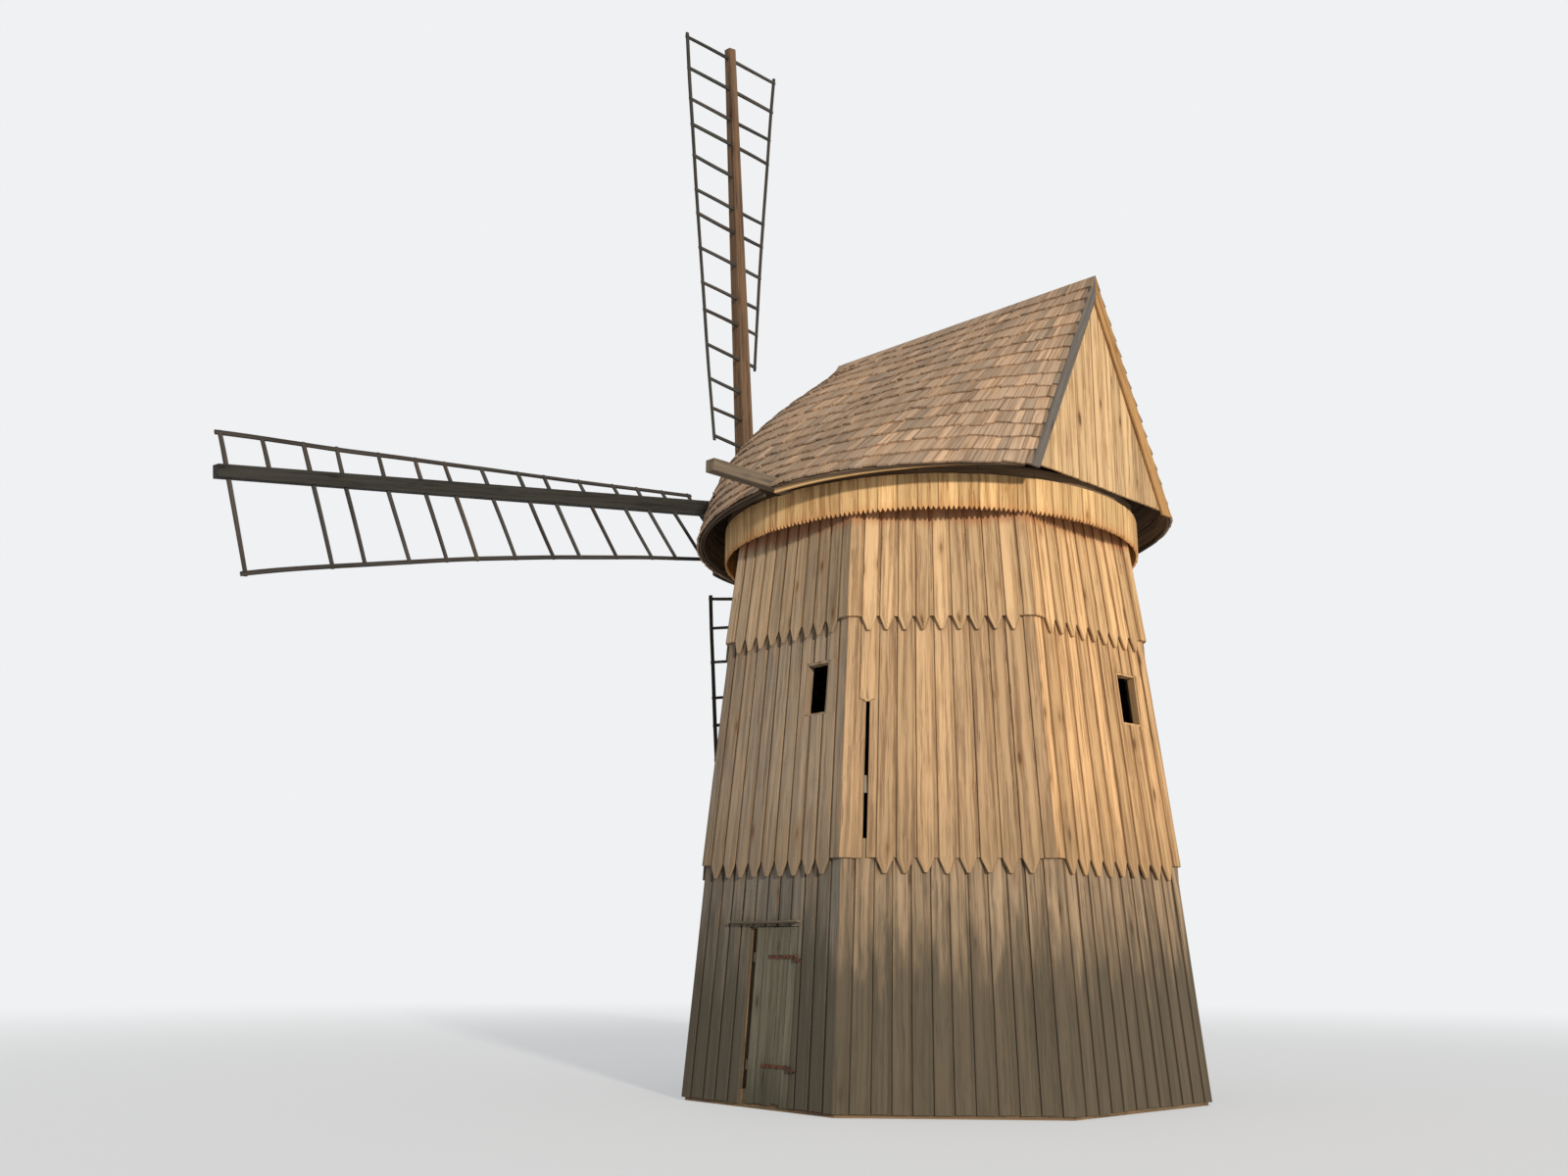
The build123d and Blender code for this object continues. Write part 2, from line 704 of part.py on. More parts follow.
# Bargeboards along the gable's edges
with BuildPart() as bargeboards:
    for way in (1, -1):
        sections = []
        for place in (roof_end, gable_place):
            foot, _, outer, _ = roof_rib(eave_turn(place))
            slope = atan((outer[-1][1] - outer[0][1]) / foot[0])
            with BuildSketch(Plane.XZ.offset(-place)) as section:
                Polygon(
                    (way * foot[0], outer[0][1]), (way * beam_seam, outer[-1][1] - beam_seam * tan(slope)),
                    (way * beam_seam, outer[-1][1] - beam_seam * tan(slope) - barge_width / cos(slope)),
                    (way * (foot[0] - barge_width / sin(slope)), outer[0][1]), align=None,
                )
            sections.append(section.sketch)
        loft(sections, ruled=True)
finish(bargeboards.part, "bargeboards")

# The rotor's plane: the windshaft's plane turned so that y runs along the upright stock
rotor_plane = shaft_plane * Rot(0, 0, -rotor_turn)
upright_plane = rotor_plane * Pos(0, 0, stock_offset - stock_root)
level_plane_of_rotor = rotor_plane * Pos(0, 0, stock_offset) * Rot(0, 0, -90)


def stock_solid(plane, reach, tip, mode=Mode.ADD):
    """A stock along the plane's y, straight through the head and tapered to both tips."""
    with Locations(plane):
        Box(stock_root, 2 * stock_straight, stock_root, mode=mode)
    for turn in (0, 180):
        arm = plane * Rot(0, 0, turn)
        sections = []
        for along, size in ((stock_straight, stock_root), (reach, tip)):
            with BuildSketch(arm * Pos(0, along, 0) * Rot(-90, 0, 0)) as section:
                Rectangle(size, size)
            sections.append(section.sketch)
        loft(sections, ruled=True, mode=mode)


with BuildPart() as upright_stock:
    stock_solid(upright_plane, upright_reach, upright_tip)
finish(upright_stock.part, "upright_stock")

with BuildPart() as level_stock:
    stock_solid(level_plane_of_rotor, level_reach, level_tip)
finish(level_stock.part, "level_stock")

# Windshaft: a square head with mortises for the stocks, and a round shaft that tapers to its tail
tail_start = shaft_depth(tail_place) + tail_width / 2 + tail_shoulder
taper_start = shaft_depth(neck_place) - breast_width / 2 - neck_shoulder
with BuildPart() as windshaft:
    with Locations(rotor_plane * Pos(0, 0, (head_front - head_back) / 2)):
        Box(head_size, head_size, head_front + head_back)
    with Locations(shaft_plane * Pos(0, 0, (taper_start - head_back) / 2)):
        Cylinder(shaft_radius, -head_back - taper_start)
    with Locations(shaft_plane * Pos(0, 0, (taper_start + tail_start) / 2)):
        Cone(tail_radius, shaft_radius, taper_start - tail_start)
    with Locations(shaft_plane * Pos(0, 0, tail_start - tail_length / 2)):
        Cylinder(tail_radius, tail_length)
    for plane in (upright_plane, level_plane_of_rotor):
        with Locations(plane):
            Box(stock_root, 2 * stock_straight, stock_root, mode=Mode.SUBTRACT)
finish(windshaft.part, "windshaft")


def weather(sail, along):
    """The sail's angle to the plane of rotation at a distance from the hub."""
    return sail["weather"][0] + sail["weather"][1] * (1 - along / weather_reach)


def sail_width(sail, side, along):
    """The way from the stock's middle to a stile at a distance from the hub."""
    tip_width, middle_width, root_width = sail[side]
    tip, root = sail["bars"][0], sail["bars"][-1]
    share = (tip - along) / (tip - root)
    curve = 4 * middle_width * share * (1 - share)
    return tip_width * (1 - share) * (1 - 2 * share) + curve + root_width * share * (2 * share - 1)


def stile(sail, side, places):
    """One stile as a ruled loft past the bars at these places."""
    way = 1 if side == "trailing" else -1
    sections = []
    for along in [places[0] + stile_end, *places, places[-1] - stile_end]:
        across = way * (sail_width(sail, side, along) - stile_width / 2)
        plane = sail["plane"] * Pos(0, along, 0) * Rot(0, weather(sail, along), 0)
        with BuildSketch(plane * Pos(across, 0, 0) * Rot(-90, 0, 0)) as section:
            Rectangle(stile_width, stile_depth)
        sections.append(section.sketch)
    loft(sections, ruled=True)


def lattice(sail):
    """The bars and stiles of one sail. The stock runs between its two halves."""
    for number, along in enumerate(sail["bars"]):
        trailing = 0 if number in sail["lost_trailing"] else sail_width(sail, "trailing", along)
        leading = 0 if number in sail["lost_leading"] else sail_width(sail, "leading", along)
        plane = sail["plane"] * Pos(0, along, 0) * Rot(0, weather(sail, along), 0)
        with Locations(plane * Pos((trailing - leading) / 2, 0, 0)):
            Box(trailing + leading - 2 * bar_set_back, bar_width, bar_depth)
    stile(sail, "trailing", sail["bars"])
    stile(sail, "leading", [along for number, along in enumerate(sail["bars"]) if number <= sail["leading_last"]])


upright_bars = [upright_reach * share for share in upright_bar_shares]
level_bars = [level_reach * share for share in level_bar_shares]
upper_sail = {
    "plane": upright_plane, "bars": upright_bars, "trailing": upright_trailing, "leading": upper_leading,
    "weather": upright_weather, "lost_trailing": (), "lost_leading": upper_lost_leading,
    "leading_last": upper_leading_last,
}
lower_sail = {
    **upper_sail, "plane": upright_plane * Rot(0, 0, 180), "bars": upright_bars[:-1], "leading": lower_leading,
    "lost_leading": (), "leading_last": len(upright_bars),
}
near_sail = {
    "plane": level_plane_of_rotor, "bars": level_bars, "trailing": level_trailing,
    "leading": level_leading, "weather": level_weather, "lost_trailing": near_lost_trailing, "lost_leading": (),
    "leading_last": len(level_bars),
}
far_sail = {**near_sail, "plane": level_plane_of_rotor * Rot(0, 0, 180), "lost_trailing": ()}
sails = {
    "upper_sail": (upper_sail, upright_plane, upright_reach, upright_tip),
    "lower_sail": (lower_sail, upright_plane, upright_reach, upright_tip),
    "near_sail": (near_sail, level_plane_of_rotor, level_reach, level_tip),
    "far_sail": (far_sail, level_plane_of_rotor, level_reach, level_tip),
}
for name, (sail, stock_plane, reach, tip) in sails.items():
    with BuildPart() as sail_lattice:
        lattice(sail)
        stock_solid(stock_plane, reach, tip, mode=Mode.SUBTRACT)
    finish(sail_lattice.part, name)
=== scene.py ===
import math
import random

import bmesh
import bpy
from mathutils import Matrix, Vector, noise


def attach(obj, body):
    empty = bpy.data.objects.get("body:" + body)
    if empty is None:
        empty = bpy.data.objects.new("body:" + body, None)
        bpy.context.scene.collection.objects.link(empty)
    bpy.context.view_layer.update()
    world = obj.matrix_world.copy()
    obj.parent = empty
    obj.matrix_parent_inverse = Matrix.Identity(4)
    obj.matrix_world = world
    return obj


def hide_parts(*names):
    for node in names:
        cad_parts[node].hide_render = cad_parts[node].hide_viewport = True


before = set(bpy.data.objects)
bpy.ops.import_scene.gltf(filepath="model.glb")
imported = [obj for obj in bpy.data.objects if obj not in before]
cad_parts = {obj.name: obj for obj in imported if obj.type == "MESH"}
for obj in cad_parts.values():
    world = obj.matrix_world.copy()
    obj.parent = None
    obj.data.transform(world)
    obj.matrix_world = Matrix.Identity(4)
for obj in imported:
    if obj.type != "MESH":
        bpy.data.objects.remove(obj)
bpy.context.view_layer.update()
scene = bpy.context.scene
scene.view_settings.view_transform = "Standard"

# Floor, backdrop and light
# A pale studio floor that fades into a pale backdrop. A broad warm lamp stands
# low on the gable's side, and the backdrop gives the soft light from all round.


def add_node(tree, kind, feeds=None, **settings):
    """A node with its settings, and with a value or a link for each named socket."""
    made = tree.nodes.new(kind)
    for name, value in settings.items():
        setattr(made, name, value)
    for socket, feed in (feeds or {}).items():
        if isinstance(feed, bpy.types.NodeSocket):
            tree.links.new(feed, made.inputs[socket])
        else:
            made.inputs[socket].default_value = feed
    return made


def work_out(tree, operation, *values, clamp=False):
    feeds = dict(enumerate(values))
    return add_node(tree, "ShaderNodeMath", feeds, operation=operation, use_clamp=clamp).outputs[0]


def times(tree, one, other):
    return work_out(tree, "MULTIPLY", one, other)


def whereabouts(tree):
    return add_node(tree, "ShaderNodeTexCoord").outputs["Object"]


def new_paint(name):
    paint = bpy.data.materials.new(name)
    paint.use_nodes = True
    return paint, paint.node_tree


backdrop_tone = (0.87, 0.88, 0.89, 1)
world = bpy.data.worlds.new("studio")
world.use_nodes = True
scene.world = world
tree = world.node_tree
soft_light = tree.nodes["Background"]
soft_light.inputs["Color"].default_value = (0.86, 0.92, 1.0, 1)
soft_light.inputs["Strength"].default_value = 0.42
rays = add_node(tree, "ShaderNodeLightPath").outputs
seen = work_out(tree, "MAXIMUM", rays["Is Camera Ray"], rays["Is Glossy Ray"])
backdrop = add_node(tree, "ShaderNodeBackground", {"Color": backdrop_tone}).outputs[0]
light = add_node(tree, "ShaderNodeMixShader", {0: seen, 1: soft_light.outputs[0], 2: backdrop}).outputs[0]
tree.links.new(light, tree.nodes["World Output"].inputs["Surface"])

floor_reach = 400.0
floor_mesh = bpy.data.meshes.new("studio_floor")
corners = [(x * floor_reach, y * floor_reach, 0) for x, y in ((-1, -1), (1, -1), (1, 1), (-1, 1))]
floor_mesh.from_pydata(corners, [], [(0, 1, 2, 3)])
studio_floor = bpy.data.objects.new("studio_floor", floor_mesh)
scene.collection.objects.link(studio_floor)
floor_paint, tree = new_paint("studio_floor")
shader = tree.nodes["Principled BSDF"]
shader.inputs["Base Color"].default_value = (0.84, 0.83, 0.81, 1)
shader.inputs["Roughness"].default_value = 0.9
distance = add_node(tree, "ShaderNodeVectorMath", {0: whereabouts(tree)}, operation="LENGTH").outputs["Value"]
fade_feeds = {"Value": distance, "From Min": 9.0, "From Max": 34.0, "To Min": 0.45}
fade = add_node(tree, "ShaderNodeMapRange", fade_feeds, interpolation_type="SMOOTHSTEP").outputs["Result"]
seen = times(tree, fade, add_node(tree, "ShaderNodeLightPath").outputs["Is Camera Ray"])
far = add_node(tree, "ShaderNodeEmission", {"Color": backdrop_tone}).outputs[0]
finish = add_node(tree, "ShaderNodeMixShader", {0: seen, 1: shader.outputs[0], 2: far}).outputs[0]
tree.links.new(finish, tree.nodes["Material Output"].inputs["Surface"])
floor_mesh.materials.append(floor_paint)

lamp_way = Vector((0.368, 0.905, 0.222))
lamp = bpy.data.lights.new("warm_lamp", "SUN")
lamp.energy = 2.9
lamp.angle = math.radians(4)
lamp.color = (1.0, 0.91, 0.78)
warm_lamp = bpy.data.objects.new("warm_lamp", lamp)
warm_lamp.rotation_euler = lamp_way.to_track_quat("Z", "Y").to_euler()
scene.collection.objects.link(warm_lamp)

# Camera
# A person's view from the ground, looking up at the corner between the door's
# side and the gable.

camera_place = (13.6646, 11.4012, 1.5521)
view = bpy.data.cameras.new("camera")
view.lens = 33.75
view.sensor_width = 36
camera = bpy.data.objects.new("camera", view)
rightward = Vector((-0.7142, 0.6999, 0.0051)).normalized()
backward = Vector((0.6785, 0.6941, -0.2404)).normalized()
upward = backward.cross(rightward).normalized()
rightward = upward.cross(backward)
camera_turn = Matrix((rightward, upward, backward)).transposed().to_4x4()
camera.matrix_world = Matrix.Translation(camera_place) @ camera_turn
scene.collection.objects.link(camera)
scene.camera = camera

# Lower walls
# Upright pine boards nailed to the sills and girts in two layers: under-boards
# side by side, cover boards over their joints, and a flat board down each corner.

corner_reach = 3.015
lean_in = 0.095
flat_share = math.cos(math.radians(22.5))
half_side = math.tan(math.radians(22.5))
first_side_turn = -2.3
board_depth = 0.02


class Pile:
    """Boards gathered into one mesh, each with its own tone, greying and grain. On some boards the tone and
    greying are painted shade.
    """

    def __init__(self, seed):
        self.chance = random.Random(seed)
        self.points = []
        self.faces = []
        self.grain = []
        self.tone = []
        self.grey = []
        self.across = []

    def strip(self, rings, across, grey=0.0, tone=None, shift=None, start=0.0):
        """A board swept through rings of points. across is each ring point's way from the board's middle."""
        tone = self.chance.random() if tone is None else tone
        shift = self.chance.uniform(0, 50) if shift is None else shift
        first = len(self.points)
        count = len(rings[0])
        widest = max(rings, key=lambda ring: (ring[0] - ring[-1]).length)
        around = [shift]
        for spot in range(count):
            around.append(around[-1] + (widest[(spot + 1) % count] - widest[spot]).length)
        along = [start]
        for below, above in zip(rings, rings[1:]):
            along.append(along[-1] + ((above[0] + above[-1]) - (below[0] + below[-1])).length / 2)
        for ring in rings:
            self.points.extend(ring)
            self.across.extend(across)
        self.tone.extend([tone] * (count * len(rings)))
        self.grey.extend([grey] * (count * len(rings)))
        for step in range(len(rings) - 1):
            low, high = first + step * count, first + (step + 1) * count
            for spot in range(count):
                after = (spot + 1) % count
                self.faces.append((low + spot, low + after, high + after, high + spot))
                self.grain.extend(((around[spot], along[step]), (around[spot + 1], along[step]),
                                   (around[spot + 1], along[step + 1]), (around[spot], along[step + 1])))
        for step, order in ((0, range(count - 1, -1, -1)), (len(rings) - 1, range(count))):
            self.faces.append(tuple(first + step * count + spot for spot in order))
            self.grain.extend((around[spot], along[step] + 0.01 * (spot % 2)) for spot in order)

    def slab(self, place, outline, depth, grey=0.0, tone=None, chamfer=0.002):
        """A flat board sawn to an outline, its back on the place's plane."""
        tone = self.chance.random() if tone is None else tone
        shift = self.chance.uniform(0, 50)
        first = len(self.points)
        count = len(outline)
        inner = []
        for spot in range(count):
            here = Vector(outline[spot])
            before = (here - Vector(outline[spot - 1])).normalized()
            after = (Vector(outline[(spot + 1) % count]) - here).normalized()
            inward = Vector((-before.y - after.y, before.x + after.x))
            stretch = max(0.35, inward.length_squared / 2)
            inner.append(here + inward * (chamfer / stretch))
        middle = sum(point[0] for point in outline) / count
        half = max(abs(point[0] - middle) for point in outline)
        layers = [(outline, 0.0), (outline, depth - chamfer), (inner, depth)]
        for layer, lift in layers:
            for point in layer:
                self.points.append(place @ Vector((point[0], point[1], lift)))
                self.across.append((point[0] - middle) / half)
        self.tone.extend([tone] * (3 * count))
        self.grey.extend([grey] * (3 * count))
        for step in range(2):
            low, high = first + step * count, first + (step + 1) * count
            for spot in range(count):
                after = (spot + 1) % count
                self.faces.append((low + spot, low + after, high + after, high + spot))
                for corner, lift in ((spot, step), (after, step), (after, step + 1), (spot, step + 1)):
                    self.grain.append((shift + outline[corner][0] + 0.02 * lift, outline[corner][1]))
        for step, order in ((0, range(count - 1, -1, -1)), (2, range(count))):
            self.faces.append(tuple(first + step * count + spot for spot in order))
            self.grain.extend((shift + outline[spot][0], outline[spot][1]) for spot in order)

    def build(self, name, body, slot, paint, *nodes):
        """The pile as one object that rides on a body and stands for CAD nodes."""
        mesh = bpy.data.meshes.new(name)
        mesh.from_pydata(self.points, [], self.faces)
        layer = mesh.uv_layers.new(name="grain")
        layer.data.foreach_set("uv", [value for pair in self.grain for value in pair])
        for label, values in (("tone", self.tone), ("grey", self.grey), ("across", self.across)):
            mesh.attributes.new(label, "FLOAT", "POINT").data.foreach_set("value", values)
        shape = bmesh.new()
        shape.from_mesh(mesh)
        bmesh.ops.recalc_face_normals(shape, faces=shape.faces)
        shape.to_mesh(mesh)
        shape.free()
        mesh.materials.append(paint)
        piece = bpy.data.objects.new(name, mesh)
        scene.collection.objects.link(piece)
        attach(piece, body)
        if nodes:
            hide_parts(*nodes)
        return piece


class Wall:
    """One tier of boards on one side of the tower: x runs along it, y up it and z outwards."""

    def __init__(self, side, foot, head, lap=0.0):
        self.foot = foot
        foot_reach = (corner_reach - lean_in * foot) * flat_share + lap
        head_reach = (corner_reach - lean_in * head) * flat_share
        turn = math.radians(first_side_turn + 45 * side)
        self.lean = math.atan((foot_reach - head_reach) / (head - foot))
        self.reach = foot_reach
        self.height = math.hypot(foot_reach - head_reach, head - foot)
        along = Vector((-math.sin(turn), math.cos(turn), 0))
        level = Vector((math.cos(turn), math.sin(turn), 0))
        out = level * math.cos(self.lean) + Vector((0, 0, math.sin(self.lean)))
        self.place = Matrix((along, out.cross(along), out)).transposed().to_4x4()
        self.place.translation = (foot_reach * math.cos(turn), foot_reach * math.sin(turn), foot)

    def half(self, up, out):
        return (self.reach - up * math.sin(self.lean) + out * math.cos(self.lean)) * half_side

    def up(self, height):
        return (height - self.foot) / math.cos(self.lean)


def steps(low, high, spacing=0.33):
    """Places from low to high, about spacing apart."""
    count = max(1, round((high - low) / spacing))
    return [low + (high - low) * step / count for step in range(count + 1)]


def nail_board(pile, place, ups, left, right, lift, depth, seed, tone, shift, grey, mitre=(0, 0)):
    """One upright board between two edges, slightly bowed and with wandering edges."""
    chamfer = 0.003
    rings = []
    for up in ups:
        bow = 0.0022 * noise.noise(Vector((seed, up * 0.8, 3.1)))
        cup = 0.0018 * noise.noise(Vector((seed, up * 0.5, 8.7)))
        a = left(up) + 0.0018 * noise.noise(Vector((seed, up * 2.1, 0.4)))
        b = right(up) + 0.0018 * noise.noise(Vector((seed, up * 2.1, 5.9)))
        edge = min(chamfer, 0.3 * (b - a))
        top = lift + depth + bow
        spots = ((a + mitre[0], lift), (a, top - cup - edge), (a + edge, top - cup),
                 (b - edge, top + cup), (b, top + cup - edge), (b - mitre[1], lift))
        rings.append([place @ Vector((across, up, out)) for across, out in spots])
    pile.strip(rings, (-1.1, -1, -0.96, 0.96, 1, 1.1), grey, tone, shift, start=ups[0])


def board_round_opening(
    pile, place, ups, left, right, lift, depth, grey, opening=None, mitre=(0, 0), tone=None,
):
    """A board, cut where it meets the opening (left, right, low, high)."""
    seed = pile.chance.uniform(0, 100)
    tone = pile.chance.random() if tone is None else tone
    shift = pile.chance.uniform(0, 50)
    made = (lift, depth, seed, tone, shift, grey, mitre)
    if opening:
        x0, x1, y0, y1 = opening
        middle = (y0 + y1) / 2
    if not opening or left(middle) >= x1 or right(middle) <= x0:
        nail_board(pile, place, ups, left, right, *made)
        return
    low = [up for up in ups if up < y0 - 0.01]
    high = [up for up in ups if up > y1 + 0.01]
    if low:
        nail_board(pile, place, low + [y0], left, right, *made)
    if high:
        nail_board(pile, place, [y1] + high, left, right, *made)
    beside = steps(max(y0, ups[0]), min(y1, ups[-1]))
    if left(middle) < x0 - 0.01:
        nail_board(pile, place, beside, left, lambda up: x0, *made)
    if right(middle) > x1 + 0.01:
        nail_board(pile, place, beside, lambda up: x1, right, *made)


pointed_foot = ((-0.157, 0.16), (-0.150, 0.27), (-0.105, 0.50), (-0.055, 0.78), (-0.022, 0.95), (0.0, 1.0))
broken_foot = ((0.0, 0.25), (0.02, 0.5), (0.03, 0.95), (0.05, 1.0))
corner_board = 0.125
board_gap = 0.040
# The under-boards are painted a little darker, as painted shade in the gaps between the cover boards.
gap_shade_tone = 0.1


def clad_wall(pile, wall, covers, grey, pointed=True, opening=None, lost_foot=None):
    """Both layers of boards of one wall. lost_foot is the height at which the first cover board now ends."""
    chance = pile.chance
    half = wall.half(0, board_depth)
    corner = corner_board / half
    gap = board_gap / half
    width = (2 * (1 - corner) - (covers + 1) * gap) / covers
    edges = []
    for number in range(covers):
        left = -1 + corner + gap + number * (width + gap)
        drift = [chance.uniform(-0.006, 0.006) / half for edge in (0, 1)]
        edges.append((left + drift[0], left + width + drift[1]))
    middles = [(left + right) / 2 for left, right in edges]
    joints = [-1.0] + middles + [1.0]
    mitre = board_depth * half_side
    for number in range(covers + 1):
        first, last = number == 0, number == covers
        seam = 0.0015 / half
        torn = 0.019 / half if lost_foot else 0.0
        left_share = joints[number] + (0 if first else seam) + (torn if number == 1 else 0)
        right_share = joints[number + 1] - (0 if last else seam) - (torn if number == 0 else 0)
        foot = chance.uniform(0, 0.008)
        board_round_opening(
            pile, wall.place, steps(foot, wall.height),
            lambda up, share=left_share: share * wall.half(up, board_depth),
            lambda up, share=right_share: share * wall.half(up, board_depth),
            0.0, board_depth, grey, opening, (mitre if first else 0, mitre if last else 0), gap_shade_tone,
        )
    for number, (left_share, right_share) in enumerate(edges):
        foot = chance.uniform(0, 0.012)
        middle_share = (left_share + right_share) / 2
        half_share = (right_share - left_share) / 2
        if lost_foot and number == 0:
            ends = [(lost_foot + up, share) for up, share in broken_foot]
        elif pointed:
            ends = [(foot + up, share) for up, share in pointed_foot]
        else:
            ends = [(foot, 1.0)]
        ups = [up for up, _ in ends] + steps(ends[-1][0], wall.height)[1:]

        def share_at(up, ends=ends):
            if up >= ends[-1][0]:
                return 1.0
            for (low, narrow), (high, wide) in zip(ends, ends[1:]):
                if up <= high:
                    return narrow + (wide - narrow) * (up - low) / (high - low)
            return 1.0

        board_round_opening(
            pile, wall.place, ups,
            lambda up, middle=middle_share, size=half_share, share_at=share_at:
                (middle - size * share_at(up)) * wall.half(up, 2 * board_depth),
            lambda up, middle=middle_share, size=half_share, share_at=share_at:
                (middle + size * share_at(up)) * wall.half(up, 2 * board_depth),
            board_depth, board_depth, grey, opening,
        )
    for way in (-1, 1):
        foot = chance.uniform(0, 0.006)
        inner = (1 - corner) * way
        outer = way * 1.0
        low, high = min(inner, outer), max(inner, outer)
        board_round_opening(
            pile, wall.place, steps(foot, wall.height),
            lambda up, share=low: share * wall.half(up, 2 * board_depth),
            lambda up, share=high: share * wall.half(up, 2 * board_depth),
            board_depth, board_depth, grey, opening, (mitre if way < 0 else 0, mitre if way > 0 else 0),
        )


def linear(red, green, blue):
    """A colour as it is seen, 0 to 255, in the linear values that a shader takes."""
    return tuple(((value / 255 + 0.055) / 1.055) ** 2.4 for value in (red, green, blue)) + (1.0,)


def stretch(tree, vector, factors):
    """A vector with each of its parts multiplied."""
    return add_node(tree, "ShaderNodeVectorMath", {0: vector, 1: factors}, operation="MULTIPLY").outputs[0]


def brighten(tree, colour, share):
    return add_node(tree, "ShaderNodeVectorMath", {0: colour, "Scale": share}, operation="SCALE").outputs[0]


def mottle(tree, vector, scale, detail, roughness=0.5):
    """Soft patches from 0 to 1."""
    feeds = {"Vector": vector, "Scale": scale, "Detail": detail, "Roughness": roughness}
    return add_node(tree, "ShaderNodeTexNoise", feeds).outputs["Fac"]


def parts_of(tree, vector):
    return add_node(tree, "ShaderNodeSeparateXYZ", {0: vector}).outputs


def joined(tree, *parts):
    return add_node(tree, "ShaderNodeCombineXYZ", dict(enumerate(parts))).outputs[0]


def ramp(tree, value, low, high):
    """0 below low, 1 above high and smooth between; low may be above high."""
    feeds = {"Value": value, "From Min": low, "From Max": high}
    return add_node(tree, "ShaderNodeMapRange", feeds, interpolation_type="SMOOTHSTEP").outputs["Result"]


def blend_colours(tree, share, one, other):
    return add_node(tree, "ShaderNodeMix", {0: share, 6: one, 7: other}, data_type="RGBA").outputs[2]


# Weathered timber: fibres, broad bands, knots and drying cracks along the grain's own Z
timber = bpy.data.node_groups.new("weathered_timber", "ShaderNodeTree")
for label, kind, value in (
    ("Grain", "NodeSocketVector", None), ("Tone", "NodeSocketFloat", 0.5),
    ("Across", "NodeSocketFloat", 0.0), ("Greying and shade", "NodeSocketFloat", 0.3),
    ("Knots", "NodeSocketFloat", 1.0), ("Cracks", "NodeSocketFloat", 1.0),
    ("Pale", "NodeSocketColor", (0.5, 0.4, 0.3, 1)), ("Dark", "NodeSocketColor", (0.2, 0.1, 0.05, 1)),
    ("Grey", "NodeSocketColor", (0.3, 0.3, 0.3, 1)),
):
    socket = timber.interface.new_socket(name=label, in_out="INPUT", socket_type=kind)
    if value is not None:
        socket.default_value = value
timber.interface.new_socket(name="Color", in_out="OUTPUT", socket_type="NodeSocketColor")
timber.interface.new_socket(name="Roughness", in_out="OUTPUT", socket_type="NodeSocketFloat")
timber.interface.new_socket(name="Height", in_out="OUTPUT", socket_type="NodeSocketFloat")
given = add_node(timber, "NodeGroupInput").outputs
warp_feeds = {"Vector": stretch(timber, given["Grain"], (3.0, 3.0, 1.4)), "Scale": 1.0, "Detail": 2.0}
warp = add_node(timber, "ShaderNodeTexNoise", warp_feeds).outputs["Color"]
bend = stretch(timber, warp, (0.05, 0.05, 0.0))
lines = add_node(timber, "ShaderNodeVectorMath", {0: bend, 1: given["Grain"]}, operation="ADD").outputs[0]
spread = {}
for label, factors, detail in (
    ("fibre", (150.0, 150.0, 3.2), 5.0), ("band", (26.0, 26.0, 0.55), 3.0),
    ("crack", (75.0, 75.0, 0.9), 2.0), ("patch", (5.0, 5.0, 1.1), 4.0),
):
    spread[label] = mottle(timber, stretch(timber, lines, factors), 1.0, detail, 0.62)
knot_feeds = {"Vector": stretch(timber, lines, (6.0, 6.0, 1.9)), "Scale": 1.0}
knots = add_node(timber, "ShaderNodeTexVoronoi", knot_feeds)
draw = add_node(timber, "ShaderNodeSeparateColor", {0: knots.outputs["Color"]}).outputs[0]
chosen = work_out(timber, "GREATER_THAN", draw, 0.62)
knot = times(timber, ramp(timber, knots.outputs["Distance"], 0.20, 0.06), chosen)
knot = times(timber, knot, given["Knots"])
halo = times(timber, ramp(timber, knots.outputs["Distance"], 0.42, 0.12), chosen)
halo = times(timber, halo, given["Knots"])
crack = times(timber, ramp(timber, spread["crack"], 0.63, 0.69), ramp(timber, spread["patch"], 0.45, 0.60))
crack = times(timber, crack, given["Cracks"])
grain_parts = times(timber, spread["fibre"], 0.45), times(timber, spread["band"], 0.55)
grain_share = work_out(timber, "ADD", *grain_parts)
grain_share = ramp(timber, grain_share, 0.36, 0.62)
colour = blend_colours(timber, grain_share, given["Dark"], given["Pale"])
colour = blend_colours(timber, ramp(timber, spread["band"], 0.40, 0.66), colour, given["Pale"])
# Greying turns the wood grey in patches: weathering, and on some boards painted shade.
patchy = work_out(timber, "ADD", 0.55, spread["patch"])
greyness = work_out(timber, "MULTIPLY", given["Greying and shade"], patchy, clamp=True)
deep_grey = brighten(timber, given["Grey"], 0.55)
grey_grain = blend_colours(timber, times(timber, grain_share, 0.7), deep_grey, given["Grey"])
colour = blend_colours(timber, greyness, colour, grey_grain)
colour = blend_colours(timber, times(timber, halo, 0.45), colour, given["Dark"])
deep = brighten(timber, given["Dark"], 0.42)
colour = blend_colours(timber, times(timber, knot, 0.85), colour, deep)
colour = blend_colours(timber, times(timber, crack, 0.8), colour, deep)
edge = ramp(timber, work_out(timber, "ABSOLUTE", given["Across"]), 0.80, 1.02)
colour = blend_colours(timber, times(timber, edge, 0.35), colour, deep)
colour = brighten(timber, colour, work_out(timber, "ADD", 0.80, times(timber, given["Tone"], 0.36)))
height = work_out(timber, "SUBTRACT", times(timber, grain_share, 0.35), crack)
height = work_out(timber, "ADD", height, times(timber, knot, 0.3))
roughness = work_out(timber, "SUBTRACT", 0.93, times(timber, grain_share, 0.18))
add_node(timber, "NodeGroupOutput", {"Color": colour, "Roughness": roughness, "Height": height})


